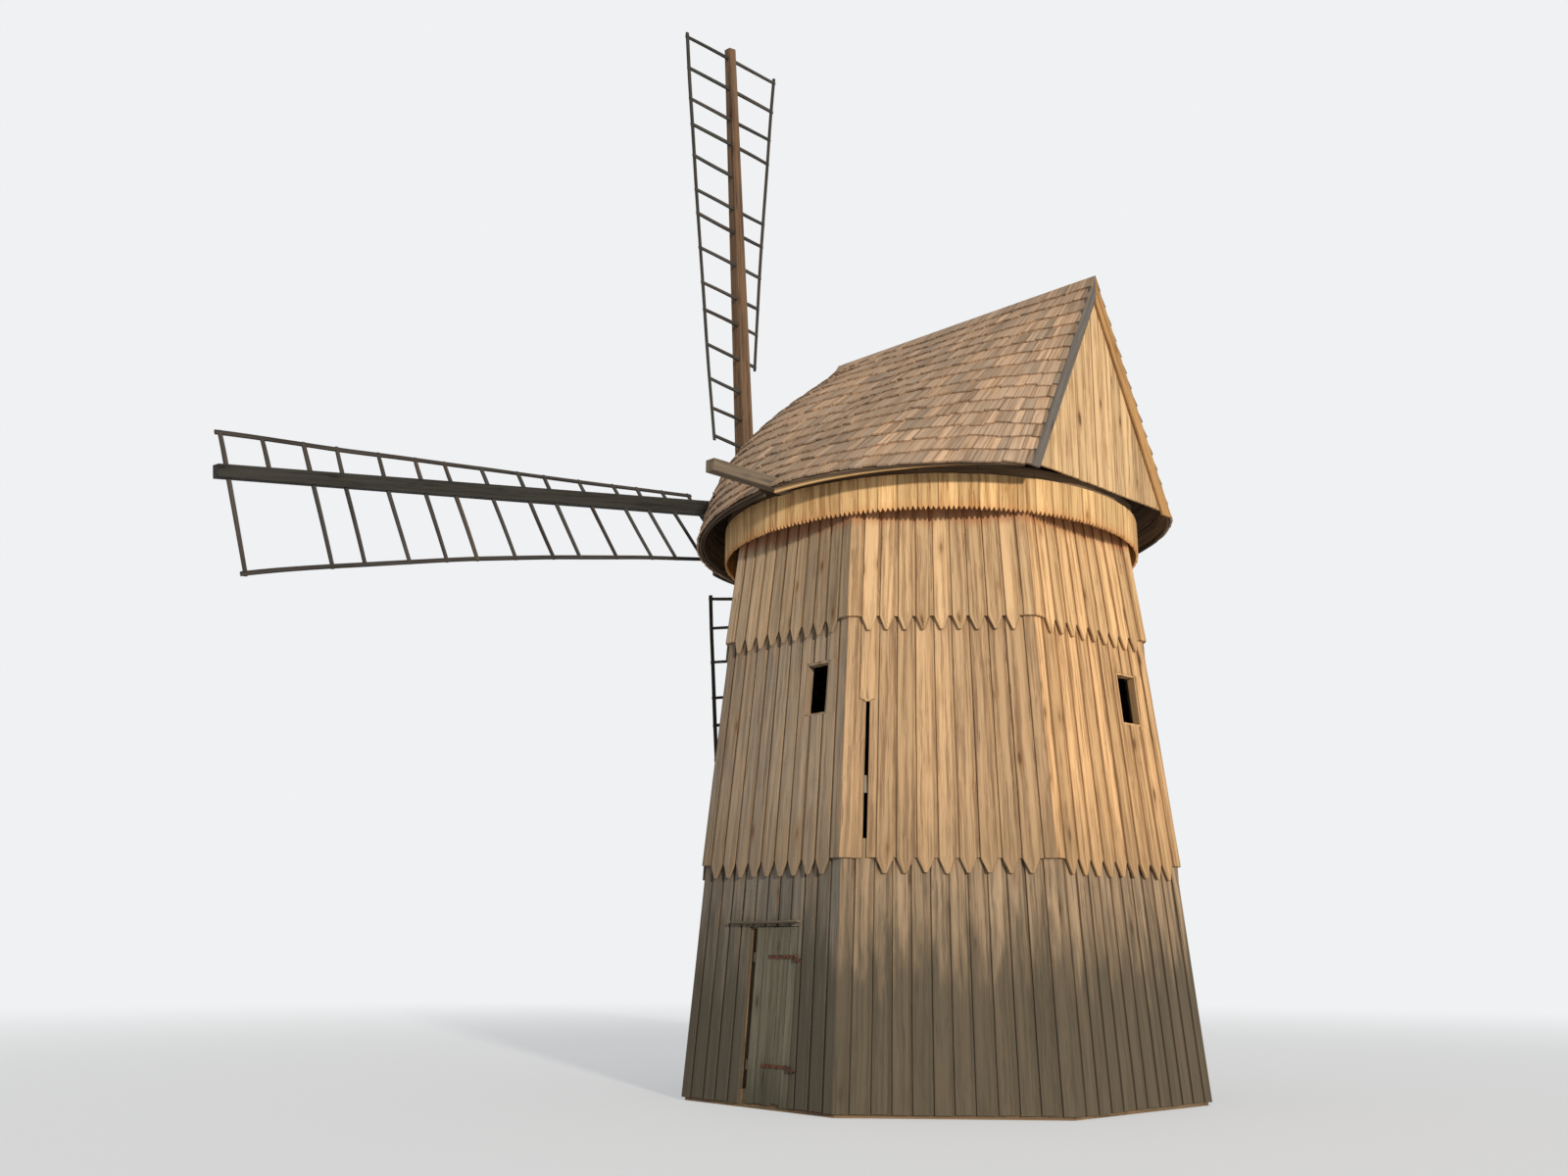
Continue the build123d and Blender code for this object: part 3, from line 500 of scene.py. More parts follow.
def timber_look(tree, feeds, pale, dark, grey, knots, cracks):
    """The weathered timber with its own colours. feeds are what differs from place to place."""
    wood = add_node(tree, "ShaderNodeGroup", feeds, node_tree=timber)
    for socket, value in zip(("Pale", "Dark", "Grey", "Knots", "Cracks"), (pale, dark, grey, knots, cracks)):
        wood.inputs[socket].default_value = value
    return wood


def coat(tree, wood, colour, relief):
    """Gives the material's shader the wood's colour, roughness and relief."""
    shader = tree.nodes["Principled BSDF"]
    shader.inputs["Specular IOR Level"].default_value = 0.25
    tree.links.new(colour, shader.inputs["Base Color"])
    tree.links.new(wood.outputs["Roughness"], shader.inputs["Roughness"])
    feeds = {"Height": wood.outputs["Height"], "Strength": 0.8, "Distance": relief}
    tree.links.new(add_node(tree, "ShaderNodeBump", feeds).outputs[0], shader.inputs["Normal"])


def board_paint(name, pale, dark, grey, knots=1.0, cracks=1.0, stain_and_shade=None, relief=0.0015):
    """A finish for boards from a pile. stain_and_shade is (colour, full height, end height, strength): a
    colour laid on by height, a real stain on some boards and painted shade on the lower boards.
    """
    paint, tree = new_paint(name)
    grain = parts_of(tree, add_node(tree, "ShaderNodeUVMap", uv_map="grain").outputs[0])
    tone, grey_and_shade, across = (
        add_node(tree, "ShaderNodeAttribute", attribute_name=label).outputs["Fac"]
        for label in ("tone", "grey", "across"))
    own = joined(tree, grain[0], times(tree, tone, 43.0), grain[1])
    feeds = {"Grain": own, "Tone": tone, "Across": across, "Greying and shade": grey_and_shade}
    wood = timber_look(tree, feeds, pale, dark, grey, knots, cracks)
    colour = wood.outputs["Color"]
    # A colour laid over the boards up to a wandering height: a real stain on some boards, painted shade on
    # the lower boards.
    if stain_and_shade:
        tint, full, none, strength = stain_and_shade
        where = whereabouts(tree)
        runs = mottle(tree, stretch(tree, where, (9.0, 9.0, 1.2)), 1.0, 4.0)
        wander = times(tree, work_out(tree, "SUBTRACT", runs, 0.5), (full - none) * -1.6)
        reach = work_out(tree, "ADD", parts_of(tree, where)[2], wander)
        colour = blend_colours(tree, times(tree, ramp(tree, reach, none, full), strength), colour, tint)
    coat(tree, wood, colour, relief)
    return paint


lower_foot, lower_head = 0.03, 2.68
# The lower boards grey and darken towards the ground: partly weathered wood, partly painted shadow of trees
# falling across the tier.
lower_paint = board_paint(
    "lower_boards", linear(190, 156, 116), linear(112, 86, 60), linear(136, 128, 116),
    stain_and_shade=(linear(74, 68, 56), 1.1, 2.3, 0.85))
pile = Pile(11)
for side in range(1, 8):
    # The sides towards the lamp are less grey than the rest: partly weathering, partly painted shade.
    clad_wall(pile, Wall(side, lower_foot, lower_head), 10, 0.45 if side < 3 else 0.75, pointed=False)
pile.build("lower_wall_boards", "tower", "lower_boards", lower_paint, "lower_walls")

# Wall round the door
# The lower boards of the door's side, cut round the doorway and over it.

door_left, door_right, door_head = -0.25, 0.52, 1.81
pile = Pile(12)
door_wall = Wall(0, lower_foot, lower_head)
doorway = (door_left, door_right, -0.1, door_wall.up(door_head))
# The door's side is painted greyest, as painted shade over its weathering.
clad_wall(pile, door_wall, 10, 0.85, pointed=False, opening=doorway)
pile.build("wall_round_door", "tower", "lower_boards", lower_paint, "door_side_walls", "wall_over_door")

# Middle walls
# The same boards one tier up. Their cover boards end in pointed feet that hang
# over the lower walls; one has lost its lower half and shows an open crack.

middle_foot, middle_head, upper_foot, upper_head = 2.48, 5.24, 5.04, 6.432
tier_overlap = 0.2
wall_depth = 0.04


def tier_lap(foot, head):
    """How far a tier's foot stands out over the tier below."""
    level_depth = wall_depth / math.cos(math.atan(lean_in * flat_share)) + 0.0003
    return level_depth / (1 - tier_overlap / (head - foot))


middle_lap = tier_lap(middle_foot, middle_head)
# Greying for each side, greyest on the door's side and least on the sides towards the lamp: partly
# weathering, partly painted shade.
side_greying_and_shade = (0.70, 0.34, 0.10, 0.25, 0.6, 0.7, 0.7, 0.75)
middle_paint = board_paint(
    "middle_boards", linear(222, 178, 126), linear(150, 110, 72), linear(158, 148, 134),
    stain_and_shade=(linear(120, 100, 74), 2.5, 3.4, 0.35))
pile = Pile(13)
lost_board_foot = 4.11
for side in (1, 3, 4, 5, 6, 7):
    wall = Wall(side, middle_foot, middle_head, middle_lap)
    clad_wall(pile, wall, 9, side_greying_and_shade[side], lost_foot=wall.up(lost_board_foot) if side == 1 else None)
wall = Wall(1, middle_foot, middle_head, middle_lap)
patch_middle, patch_half, patch_low, patch_high = -0.842, 0.035, 3.15, 3.33
nail_board(
    pile, wall.place, steps(wall.up(patch_low), wall.up(patch_high), 0.06),
    lambda up: patch_middle - patch_half, lambda up: patch_middle + patch_half,
    -0.012, 0.02, 4.4, 0.95, 3.0, 0.9)
pile.build("middle_wall_boards", "tower", "tower_boards", middle_paint, "middle_walls")

# Walls with a window
# Middle boards sawn through for an unglazed window, lined with four thin boards.

window_middle, window_width, window_foot, window_height = 0.56, 0.36, 4.015, 0.59
lining, lining_back, lining_depth = 0.022, -0.055, 0.088
pile = Pile(14)
for side in (0, 2):
    wall = Wall(side, middle_foot, middle_head, middle_lap)
    low = wall.up(window_foot)
    opening = (window_middle - window_width / 2, window_middle + window_width / 2, low, low + window_height)
    clad_wall(pile, wall, 9, side_greying_and_shade[side], opening=opening)
    x0, x1, y0, y1 = opening
    for left, right, bottom, top in (
        (x0, x0 + lining, y0, y1), (x1 - lining, x1, y0, y1),
        (x0 + lining, x1 - lining, y0, y0 + lining), (x0 + lining, x1 - lining, y1 - lining, y1),
    ):
        outline = [(left, bottom), (right, bottom), (right, top), (left, top)]
        place = wall.place @ Matrix.Translation((0, 0, lining_back))
        pile.slab(place, outline, lining_depth, side_greying_and_shade[side])
pile.build("window_wall_boards", "tower", "tower_boards", middle_paint, "window_walls")

# Upper walls
# The third tier, sheltered by the cap and stained under the skirt by run-off.

upper_paint = board_paint(
    "upper_boards", linear(226, 184, 132), linear(160, 120, 78), linear(168, 158, 142),
    stain_and_shade=(linear(160, 92, 50), 6.20, 6.06, 0.55))
pile = Pile(15)
for side in range(8):
    wall = Wall(side, upper_foot, upper_head, tier_lap(upper_foot, upper_head))
    clad_wall(pile, wall, 9, side_greying_and_shade[side] * 0.8)
pile.build("upper_wall_boards", "tower", "tower_boards", upper_paint, "upper_walls")

# Tower frame, floors and curb
# Hewn sills, posts, girts and plates carry the boards; the curb on the plates
# is the round track that the cap turns on. Plank floors lie on the sills and girts.


def timber_paint(name, colours, greying=0.4, grain_way=None):
    """A finish for a whole CAD timber, its grain along grain_way or else along the level diagonal between X
    and Y.
    """
    paint, tree = new_paint(name)
    where = whereabouts(tree)
    if grain_way is None:
        spots = parts_of(tree, where)
        level = work_out(tree, "ADD", spots[0], spots[1])
        where = joined(tree, spots[2], times(tree, level, 0.05), level)
    else:
        turn = Vector(grain_way).rotation_difference(Vector((0, 0, 1))).to_euler()
        where = add_node(tree, "ShaderNodeMapping", {"Vector": where, "Rotation": turn}).outputs[0]
    feeds = {"Grain": where, "Tone": mottle(tree, where, 0.9, 2.0), "Greying and shade": greying, "Across": 0.0}
    wood = timber_look(tree, feeds, *colours, 0.7, 1.0)
    coat(tree, wood, wood.outputs["Color"], 0.002)
    return paint


def dress(node, paint, width=0.006):
    """A CAD timber with its finish and worn arrises."""
    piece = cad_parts[node]
    piece.data.materials.clear()
    piece.data.materials.append(paint)
    weld = piece.modifiers.new("weld", "WELD")
    weld.merge_threshold = 0.0001
    worn = piece.modifiers.new("worn_edges", "BEVEL")
    worn.width = width
    worn.segments = 2
    worn.limit_method = "ANGLE"
    worn.angle_limit = math.radians(35)


frame_colours = (linear(150, 118, 82), linear(92, 66, 42), linear(120, 112, 98))
level_timber = timber_paint("level_timber", frame_colours)
upright_timber = timber_paint("upright_timber", frame_colours, grain_way=(0, 0, 1))
for node in ("sill_beams", "lower_girts", "upper_girts", "top_plates", "curb", "ground_sleepers"):
    dress(node, level_timber)
dress("corner_posts", upright_timber)
dress("door_frame", upright_timber, 0.004)

plank_width = 0.21
plank_colours = (linear(158, 128, 92), linear(104, 78, 52), linear(128, 120, 106))
plank_paint = timber_paint("floor_planks", plank_colours, 0.3, grain_way=(0, 1, 0))
tree = plank_paint.node_tree
base = tree.nodes["Principled BSDF"].inputs["Base Color"]
share = work_out(tree, "FRACT", work_out(tree, "DIVIDE", parts_of(tree, whereabouts(tree))[0], plank_width))
joint = ramp(tree, work_out(tree, "ABSOLUTE", work_out(tree, "SUBTRACT", share, 0.5)), 0.47, 0.49)
tree.links.new(blend_colours(tree, joint, base.links[0].from_socket, linear(30, 22, 15)), base)
dress("ground_floor", plank_paint, 0.002)
dress("upper_floor", plank_paint, 0.002)

# Door
# A plank leaf on two ledges, hung on forged straps. Its outermost board is gone.
# A sagging drip board is nailed to the wall over it.

door_gap = 0.006
leaf_left, leaf_right = door_left + door_gap + 0.11, door_right - door_gap
leaf_back, leaf_depth = 0.008, 0.028
leaf_low, leaf_high = door_wall.up(0.03) + door_gap, door_wall.up(door_head) - door_gap
door_paint = board_paint(
    "door_boards", linear(146, 128, 98), linear(84, 72, 52), linear(124, 120, 104),
    stain_and_shade=(linear(58, 58, 42), 0.05, 0.7, 0.6))
pile = Pile(16)
leaf_edges = [leaf_left]
for width in (0.128, 0.139, 0.118, 0.135):
    leaf_edges.append(leaf_edges[-1] + width)
leaf_edges.append(leaf_right)
leaf_place = door_wall.place @ Matrix.Translation((0, 0, leaf_back))
for left, right in zip(leaf_edges, leaf_edges[1:]):
    foot = leaf_low + pile.chance.uniform(0, 0.03)
    tone, shift, seed = pile.chance.random(), pile.chance.uniform(0, 50), pile.chance.uniform(0, 100)
    nail_board(pile, leaf_place, steps(foot, leaf_high - pile.chance.uniform(0, 0.004)),
               lambda up, edge=left: edge + 0.0015, lambda up, edge=right: edge - 0.0015,
               0.0, leaf_depth - 0.003, seed, tone, shift, 0.8)
pile.build("door_leaf_boards", "door", "door_boards", door_paint, "door_leaf")
ledge_colours = (linear(138, 118, 88), linear(84, 70, 50), linear(116, 110, 96))
dress("door_ledges", timber_paint("door_ledges", ledge_colours, 0.6, grain_way=(0, 1, 0)), 0.004)

iron, tree = new_paint("forged_iron")
shader = tree.nodes["Principled BSDF"]
rust = mottle(tree, whereabouts(tree), 34.0, 6.0, 0.7)
pits = mottle(tree, whereabouts(tree), 160.0, 3.0)
rusty = ramp(tree, rust, 0.40, 0.62)
iron_colour = blend_colours(tree, rusty, linear(46, 40, 38), linear(112, 62, 34))
tree.links.new(iron_colour, shader.inputs["Base Color"])
tree.links.new(work_out(tree, "ADD", 0.5, times(tree, rusty, 0.4)), shader.inputs["Roughness"])
tree.links.new(work_out(tree, "SUBTRACT", 0.8, times(tree, rusty, 0.75)), shader.inputs["Metallic"])
relief = {"Height": work_out(tree, "ADD", pits, rust), "Strength": 0.6, "Distance": 0.001}
tree.links.new(add_node(tree, "ShaderNodeBump", relief).outputs[0], shader.inputs["Normal"])
dress("door_straps", iron, 0.001)
dress("door_pintles", iron, 0.001)

drip_length, drip_middle, drip_depth, drip_lift = 1.05, 0.025, 0.07, 0.03
pile = Pile(17)
rings = []
drip_up = door_wall.up(door_head) + drip_lift
for across in steps(drip_middle - drip_length / 2, drip_middle + drip_length / 2, 0.1):
    share = (across - drip_middle) / (drip_length / 2)
    sag = 0.010 * share ** 2 - 0.004 + 0.002 * noise.noise(Vector((across * 4, 1.3, 0)))
    low, high = drip_up + sag, drip_up + sag + 0.026
    front = drip_depth - 0.004
    spots = ((high, 0.0), (high - 0.004, front - 0.002), (high - 0.007, front),
             (low + 0.004, front), (low, front - 0.004), (low, 0.0))
    rings.append([door_wall.place @ Vector((across, up, wall_depth + out)) for up, out in spots])
pile.strip(rings, (-0.5, -0.9, -1.0, 1.0, 0.9, 0.5), 0.5)
pile.build("sagged_drip_board", "tower", "frame_timber", door_paint, "drip_board")

# Skirt
# Boards nailed upright round the cap ring, each with a sawn row of teeth below.
# It hangs over the top of the tower and turns with the cap.

cap_foot = 6.5905
skirt_foot, skirt_head = cap_foot - 0.4, cap_foot + 0.015
skirt_inner, skirt_board_depth = 2.511, 0.024
skirt_boards, teeth, tooth_height = 72, 4, 0.05
beam_place, beam_half_width = 0.03, 0.07
skirt_paint = board_paint(
    "skirt_boards", linear(240, 198, 138), linear(178, 130, 78), linear(178, 162, 138),
    stain_and_shade=(linear(196, 112, 48), 6.20, 6.34, 0.25))
pile = Pile(18)
for number in range(skirt_boards):
    turn = math.radians(360 * number / skirt_boards)
    out = Vector((math.cos(turn), math.sin(turn), 0))
    along = Vector((-math.sin(turn), math.cos(turn), 0))
    place = Matrix((along, Vector((0, 0, 1)), out)).transposed().to_4x4()
    place.translation = out * (skirt_inner + pile.chance.uniform(0, 0.003))
    half = (skirt_inner + skirt_board_depth) * math.tan(math.pi / skirt_boards) - 0.0012
    head = skirt_head - pile.chance.uniform(0, 0.006)
    nearest = abs((out * skirt_inner).y - beam_place)
    if nearest < beam_half_width + half:
        head = cap_foot - 0.003
    outline = []
    pitch = 2 * half / teeth
    for tooth in range(teeth):
        left = -half + tooth * pitch
        deep = tooth_height * pile.chance.uniform(0.85, 1.05)
        tip = skirt_foot + pile.chance.uniform(0, 0.006)
        lean = pile.chance.uniform(-0.003, 0.003)
        outline += [
            (left + 0.0015, skirt_foot + deep), (left + pitch * 0.38 + lean, tip + 0.008),
            (left + pitch * 0.5 + lean, tip), (left + pitch * 0.62 + lean, tip + 0.008),
            (left + pitch - 0.0015, skirt_foot + deep),
        ]
    outline += [(half, head), (-half, head)]
    face = math.cos(turn - math.radians(200))
    pile.slab(place, outline, skirt_board_depth, 0.12 + 0.4 * max(0.0, face), chamfer=0.0012)
pile.build("toothed_skirt", "cap", "skirt_boards", skirt_paint, "skirt")

# Roof
# Courses of split shingles on level boarding. The flat slope by the gable runs
# round into a rounded front, where the shingles fan out from the ridge's end.

eave_radius, eave_rear, eave_front, eave_height, eave_drop = 2.865, 2.994, 2.946, 6.6055, 0.257
gable_front, roof_end, ridge_height, ridge_rise, ridge_front = 2.61, 2.58, 9.28, 0.017, 1.53
front_flat, front_swell, side_swell = 0.03, 1.0, 0.012
hub = Vector((0, -3.42, 7.686984))
shaft_tilt = math.radians(5.5)
shaft_way = Vector((0, -math.cos(shaft_tilt), math.sin(shaft_tilt)))
shaft_hole = 0.29


def roof_surface(turn, share):
    """A point of the roof's outer surface, turn degrees round from +X, share of the way up."""
    angle = math.radians(turn)
    front = max(0.0, -math.sin(angle))
    deep = (eave_front if front else eave_rear) * (1 - front_flat * front ** 4)
    foot = (eave_radius * math.cos(angle), deep * math.sin(angle))
    ridge = -ridge_front * front if front else foot[1]
    run = math.hypot(foot[0], ridge - foot[1])
    swell = side_swell + front_swell * front * (1 - front ** 2 / 2)
    inward = (run * share - swell * math.sin(math.pi * share)) / run
    foot_height = eave_height - eave_drop * front
    rise = ridge_height + ridge_rise * (gable_front - ridge) - foot_height
    return Vector((foot[0] * (1 - inward), foot[1] + (ridge - foot[1]) * inward, foot_height + rise * share))


def roof_point(turn, share, lift=0.0):
    """A point lifted off the roof's surface, straight up where it lies on the ridge."""
    point = roof_surface(turn, share)
    if lift:
        small = min(share, 0.98)
        along = roof_surface(turn + 0.5, small) - roof_surface(turn - 0.5, small)
        out = along.cross(roof_surface(turn, small + 0.01) - roof_surface(turn, small - 0.01)).normalized()
        point = point + (out * lift if share < 0.995 else Vector((0, 0, lift / out.z)))
    return point


def off_shaft(point):
    """How far a point is from the middle of the shaft, on the roof's front."""
    return (point - hub).cross(shaft_way).length if point.y < 0 else 9.0


def eave_turn(place):
    return math.degrees(math.asin(place / eave_rear))


def course_places(share, start, stop, count=170):
    """The turns along a course and how far along it each one lies."""
    turns = [start + (stop - start) * step / count for step in range(count + 1)]
    points = [roof_point(turn, share) for turn in turns]
    reach = [0.0]
    for before, after in zip(points, points[1:]):
        reach.append(reach[-1] + (after - before).length)
    return turns, reach


def turn_at(turns, reach, along):
    for spot in range(1, len(reach)):
        if reach[spot] >= along:
            share = (along - reach[spot - 1]) / max(1e-9, reach[spot] - reach[spot - 1])
            return turns[spot - 1] + (turns[spot] - turns[spot - 1]) * share
    return turns[-1]


def nearest_to_shaft(turn, *shares):
    return min(off_shaft(roof_point(turn, share)) for share in shares)


courses, deck_boards, deck_steps = 15, 14, 140
shingle_width, shingle_depth = 0.125, 0.024
deck_top, deck_back = -0.037, -0.060
notch = (beam_place - beam_half_width - 0.008, beam_place + beam_half_width + 0.008)
roof_paint = board_paint(
    "shingles", linear(222, 184, 148), linear(150, 116, 84), linear(180, 160, 140),
    knots=0.0, cracks=0.9, relief=0.002)


def shingle_rings(high_turn, low_turn, share_low, share_high, skew, raised):
    """A shingle's cross sections, from its thick tail to its head under the next course."""
    sink = -0.033 if share_high < 1 else -0.006
    layers = ((0.0, raised, shingle_depth), (0.5, raised * 0.5 + sink * 0.5, 0.011), (1.0, sink, 0.005))
    rings = []
    for share, top, depth in layers:
        up = share_low + (share_high - share_low) * share
        left = max(0.0, up - (1 - share) * skew)
        right = max(0.0, up + (1 - share) * skew)
        rings.append((
            roof_point(low_turn, left, top - depth), roof_point(low_turn, left, top),
            roof_point(high_turn, right, top), roof_point(high_turn, right, top - depth),
        ))
    return rings


for name, node, way, seed in (
    ("left_shingles", "roof_left", 1, 21), ("right_shingles", "roof_right", -1, 22),
):
    pile = Pile(seed)
    chance = pile.chance

    def lay(points, way=way):
        return [Vector((way * point.x, point.y, point.z)) for point in points]

    for course in range(courses):
        tail = course / courses
        turns, reach = course_places(tail, eave_turn(gable_front + 0.004), -90)
        wave = chance.uniform(0, 100)
        along = chance.uniform(0.03, 0.1)
        last = 0.0
        while last < reach[-1] - 0.01:
            along = min(along, reach[-1])
            if reach[-1] - along < 0.05:
                along = reach[-1]
            high_turn, low_turn = turn_at(turns, reach, last), turn_at(turns, reach, along)
            verge = last == 0.0
            middle = (last + along) / 2
            last, along = along, along + shingle_width * chance.uniform(0.62, 1.35)
            high_turn, low_turn = high_turn - 0.02, low_turn + 0.03
            droop = 0.011 * noise.noise(Vector((wave, middle * 0.7, 0)))
            droop += 0.009 * noise.noise(Vector((wave, middle * 3.5, 5)))
            share_low = max(0.0, tail + droop + chance.uniform(-0.0035, 0.0035))
            skew = chance.uniform(-0.003, 0.003)
            share_high = min(1.0, tail + 1.36 / courses)
            raised = chance.uniform(-0.002, 0.010) * (1 - tail)
            turn = (high_turn + low_turn) / 2
            at_notch = notch[0] - 0.03 < roof_point(turn, share_low).y < notch[1] + 0.03
            if course == 0 and at_notch:
                continue
            share_middle = (share_low + share_high) / 2
            if nearest_to_shaft(turn, share_low, share_middle, share_high) < shaft_hole + 0.05:
                continue
            rings = shingle_rings(high_turn, low_turn, share_low, share_high, skew, raised)
            grey = chance.uniform(0.25, 0.75)
            pile.strip([lay(ring) for ring in rings], (-1, -1, 1, 1), grey, tone=-0.4 if verge else None)
    for board in range(deck_boards):
        low, high = board / deck_boards + 0.001, (board + 1) / deck_boards - 0.001
        rings = []
        for step in range(deck_steps + 1):
            turn = eave_turn(roof_end) + (-90 - eave_turn(roof_end)) * step / deck_steps
            corners = ((low, deck_back), (high, deck_back), (high, deck_top), (low, deck_top))
            blocked = nearest_to_shaft(turn, low, (low + high) / 2, high) < shaft_hole
            blocked = blocked or (board == 0 and notch[0] < roof_point(turn, low).y < notch[1])
            if not blocked:
                rings.append(lay(roof_point(turn, share, lift) for share, lift in corners))
            if (blocked or step == deck_steps) and len(rings) > 1:
                # The boarding is painted dark: partly weathered underside wood, partly painted shade under
                # the overhang.
                pile.strip(rings, (-1, 1, 1, -1), 0.5, tone=-1.2)
            if blocked:
                rings = []
    pile.build(name, "cap", "shingles", roof_paint, node)

# Eave boards
# Curved boards that hang under the roof's edge, stopped each side of the beam.

eave_inset, eave_board_depth, eave_board_drop = 0.075, 0.028, 0.035
pile = Pile(23)
for way in (1, -1):
    beam_turns = (eave_turn(notch[1] + 0.004), math.degrees(math.asin((notch[0] - 0.004) / eave_front)))
    stops = (eave_turn(2.52), 22.0, *beam_turns, -30.0, -60.0, -90.0)
    for start, stop in zip(stops, stops[1:]):
        if start * stop < 0:
            continue
        rings = []
        for step in range(17):
            turn = start + (stop - start) * step / 16
            foot = roof_point(turn, 0.0)
            inward = roof_point(turn, 0.1) - foot
            inward = Vector((inward.x, inward.y, 0)).normalized()
            slope = roof_point(turn, 0.2, -0.06) - roof_point(turn, 0.0, -0.06)
            slope = slope.z / math.hypot(slope.x, slope.y)
            under = roof_point(turn, 0.0, -0.062)
            fade = abs(foot.y) / 1.7 if foot.y > 0 else min(1.5, abs(foot.y))
            wander = 0.003 * noise.noise(Vector((turn * 0.11, way, 2)))
            low = under.z - eave_board_drop * (1 - fade) + wander
            near, far = eave_inset, eave_inset + eave_board_depth
            ring = []
            for inset, bottom in ((near, True), (near, False), (far, False), (far, True)):
                spot = foot + inward * inset
                reach = Vector((spot.x - under.x, spot.y - under.y)).length
                height = low if bottom else under.z + min(0.12, slope * reach) - 0.002
                ring.append(Vector((way * spot.x, spot.y, height)))
            rings.append(ring)
        # Runs other than the near rear ones are painted darker and greyer, as painted shade under the roof.
        lit = way == 1 and start > 0
        pile.strip(rings, (-1, 1, 1, -1), 0.15 if lit else 0.9, tone=None if lit else -1.5)
pile.build("eave_board_runs", "cap", "skirt_boards", skirt_paint, "eave_boards")

# Gable
# Broad pine boards close the cap's rear, knotty and split by one open joint.
# Two bargeboards cover their ends along the roof's edges; the near one is painted grey as painted shade, the
# far one orange as painted sunlight.

gable_board, gable_lift, gable_inset = 0.03, 0.055, 0.062
gable_paint = board_paint(
    "gable_boards", linear(222, 184, 134), linear(158, 118, 76), linear(172, 160, 138), knots=1.3, cracks=1.2)
gable_back = roof_end - gable_board
gable_foot = skirt_head + gable_lift
rear_foot = roof_point(eave_turn(gable_back + 0.015), 0.0)
rear_rise = roof_point(eave_turn(gable_back + 0.015), 1.0).z - rear_foot.z
roof_slope = math.atan2(rear_rise, rear_foot.x)
side_inset = gable_inset / math.sin(roof_slope)


def gable_head(across):
    """The top of the gable's boards at a place across, under the roof's boarding."""
    return rear_foot.z + rear_rise * (1 - (abs(across) + side_inset) / rear_foot.x)


gable_place = Matrix(((-1, 0, 0, 0), (0, 0, 1, gable_back), (0, 1, 0, 0), (0, 0, 0, 1)))
pile = Pile(24)
half = rear_foot.x * (1 - (gable_foot - rear_foot.z) / rear_rise) - side_inset
left = -half
while left < half - 0.01:
    right = min(half, left + pile.chance.uniform(0.15, 0.215))
    if half - right < 0.07:
        right = half
    joint = 0.0012 if not -0.12 < right < 0.05 else 0.014
    a, b = left + 0.0012, right - joint
    foot = gable_foot + pile.chance.uniform(0, 0.008)
    outline = [(a, foot), (b, foot)]
    if gable_head(b) > foot + 0.002:
        outline.append((b, gable_head(b)))
    if a < 0 < b:
        outline.append((0, gable_head(0)))
    if gable_head(a) > foot + 0.002:
        outline.append((a, gable_head(a)))
    if len(outline) > 2:
        proud = Matrix.Translation((0, 0, pile.chance.uniform(0, 0.002)))
        pile.slab(gable_place @ proud, outline, gable_board - 0.004, 0.22)
    left = right
pile.build("gable_wall_boards", "cap", "tower_boards", gable_paint, "gable_wall")

barge_depth, edge_top, barge_gap = 0.03, 0.006, 0.0008
near_shade_colours = (linear(140, 120, 100), linear(88, 74, 62), linear(120, 114, 108))
far_sunlit_colours = (linear(196, 146, 84), linear(132, 88, 46), linear(168, 150, 122))
# The near bargeboard's colours and greying are painted shade, the far one's are painted sunlight.
for name, way, barge_width, colours, grey, seed, stands_for in (
    ("near_bargeboard", 1, 0.145, near_shade_colours, 0.95, 25, ()),
    ("far_bargeboard", -1, 0.18, far_sunlit_colours, 0.25, 26, ("bargeboards",)),
):
    pile = Pile(seed)
    foot = roof_point(eave_turn(gable_front), 0.0)
    rise = roof_point(eave_turn(gable_front), 1.0).z - foot.z
    slope = math.atan2(rise, foot.x)
    up = Vector((-way * math.cos(slope), 0, math.sin(slope)))
    out = Vector((0, 1, 0))
    along = up.cross(out)
    place = Matrix((along, up, out)).transposed().to_4x4()
    place.translation = (way * foot.x, roof_end, foot.z)
    back = place.inverted()
    top = foot.z + rise
    points = [
        (foot.x - edge_top / math.sin(slope), foot.z), (barge_gap, top - edge_top / math.cos(slope) - 0.001),
        (barge_gap, top - barge_width / math.cos(slope)), (foot.x - barge_width / math.sin(slope), foot.z),
    ]
    outline = [tuple((back @ Vector((way * x, roof_end, z))).xy) for x, z in points]
    if way == 1:
        outline.reverse()
    pile.slab(place, outline, barge_depth - 0.002, grey)
    pile.build(name, "cap", "skirt_boards", board_paint(name, *colours, knots=0.6), *stands_for)

# Cap frame
# Squared timbers inside the cap: the ring that slides on the curb, the beam that
# stands out on both sides, two sheers, and the beams and seats for the shaft.

beam_colours = (linear(142, 118, 92), linear(88, 68, 50), linear(124, 116, 104))
beam_paint = timber_paint("spreader_beam", beam_colours, 0.6, grain_way=(1, 0, 0))
lengthwise = timber_paint("lengthwise_timber", frame_colours, grain_way=(0, 1, 0))
crosswise = timber_paint("crosswise_timber", frame_colours, grain_way=(1, 0, 0))
dress("spreader_beam", beam_paint, 0.008)
dress("cap_ring", level_timber)
dress("sheers", lengthwise)
for node in ("breast_beam", "neck_bearing", "tail_beam", "tail_bearing", "gable_sill"):
    dress(node, crosswise)

# Windshaft and stocks
# The shaft leans back from its square head, which two long tapered stocks pass
# through. All are single trunks, hewn square and dark with tar and weather.

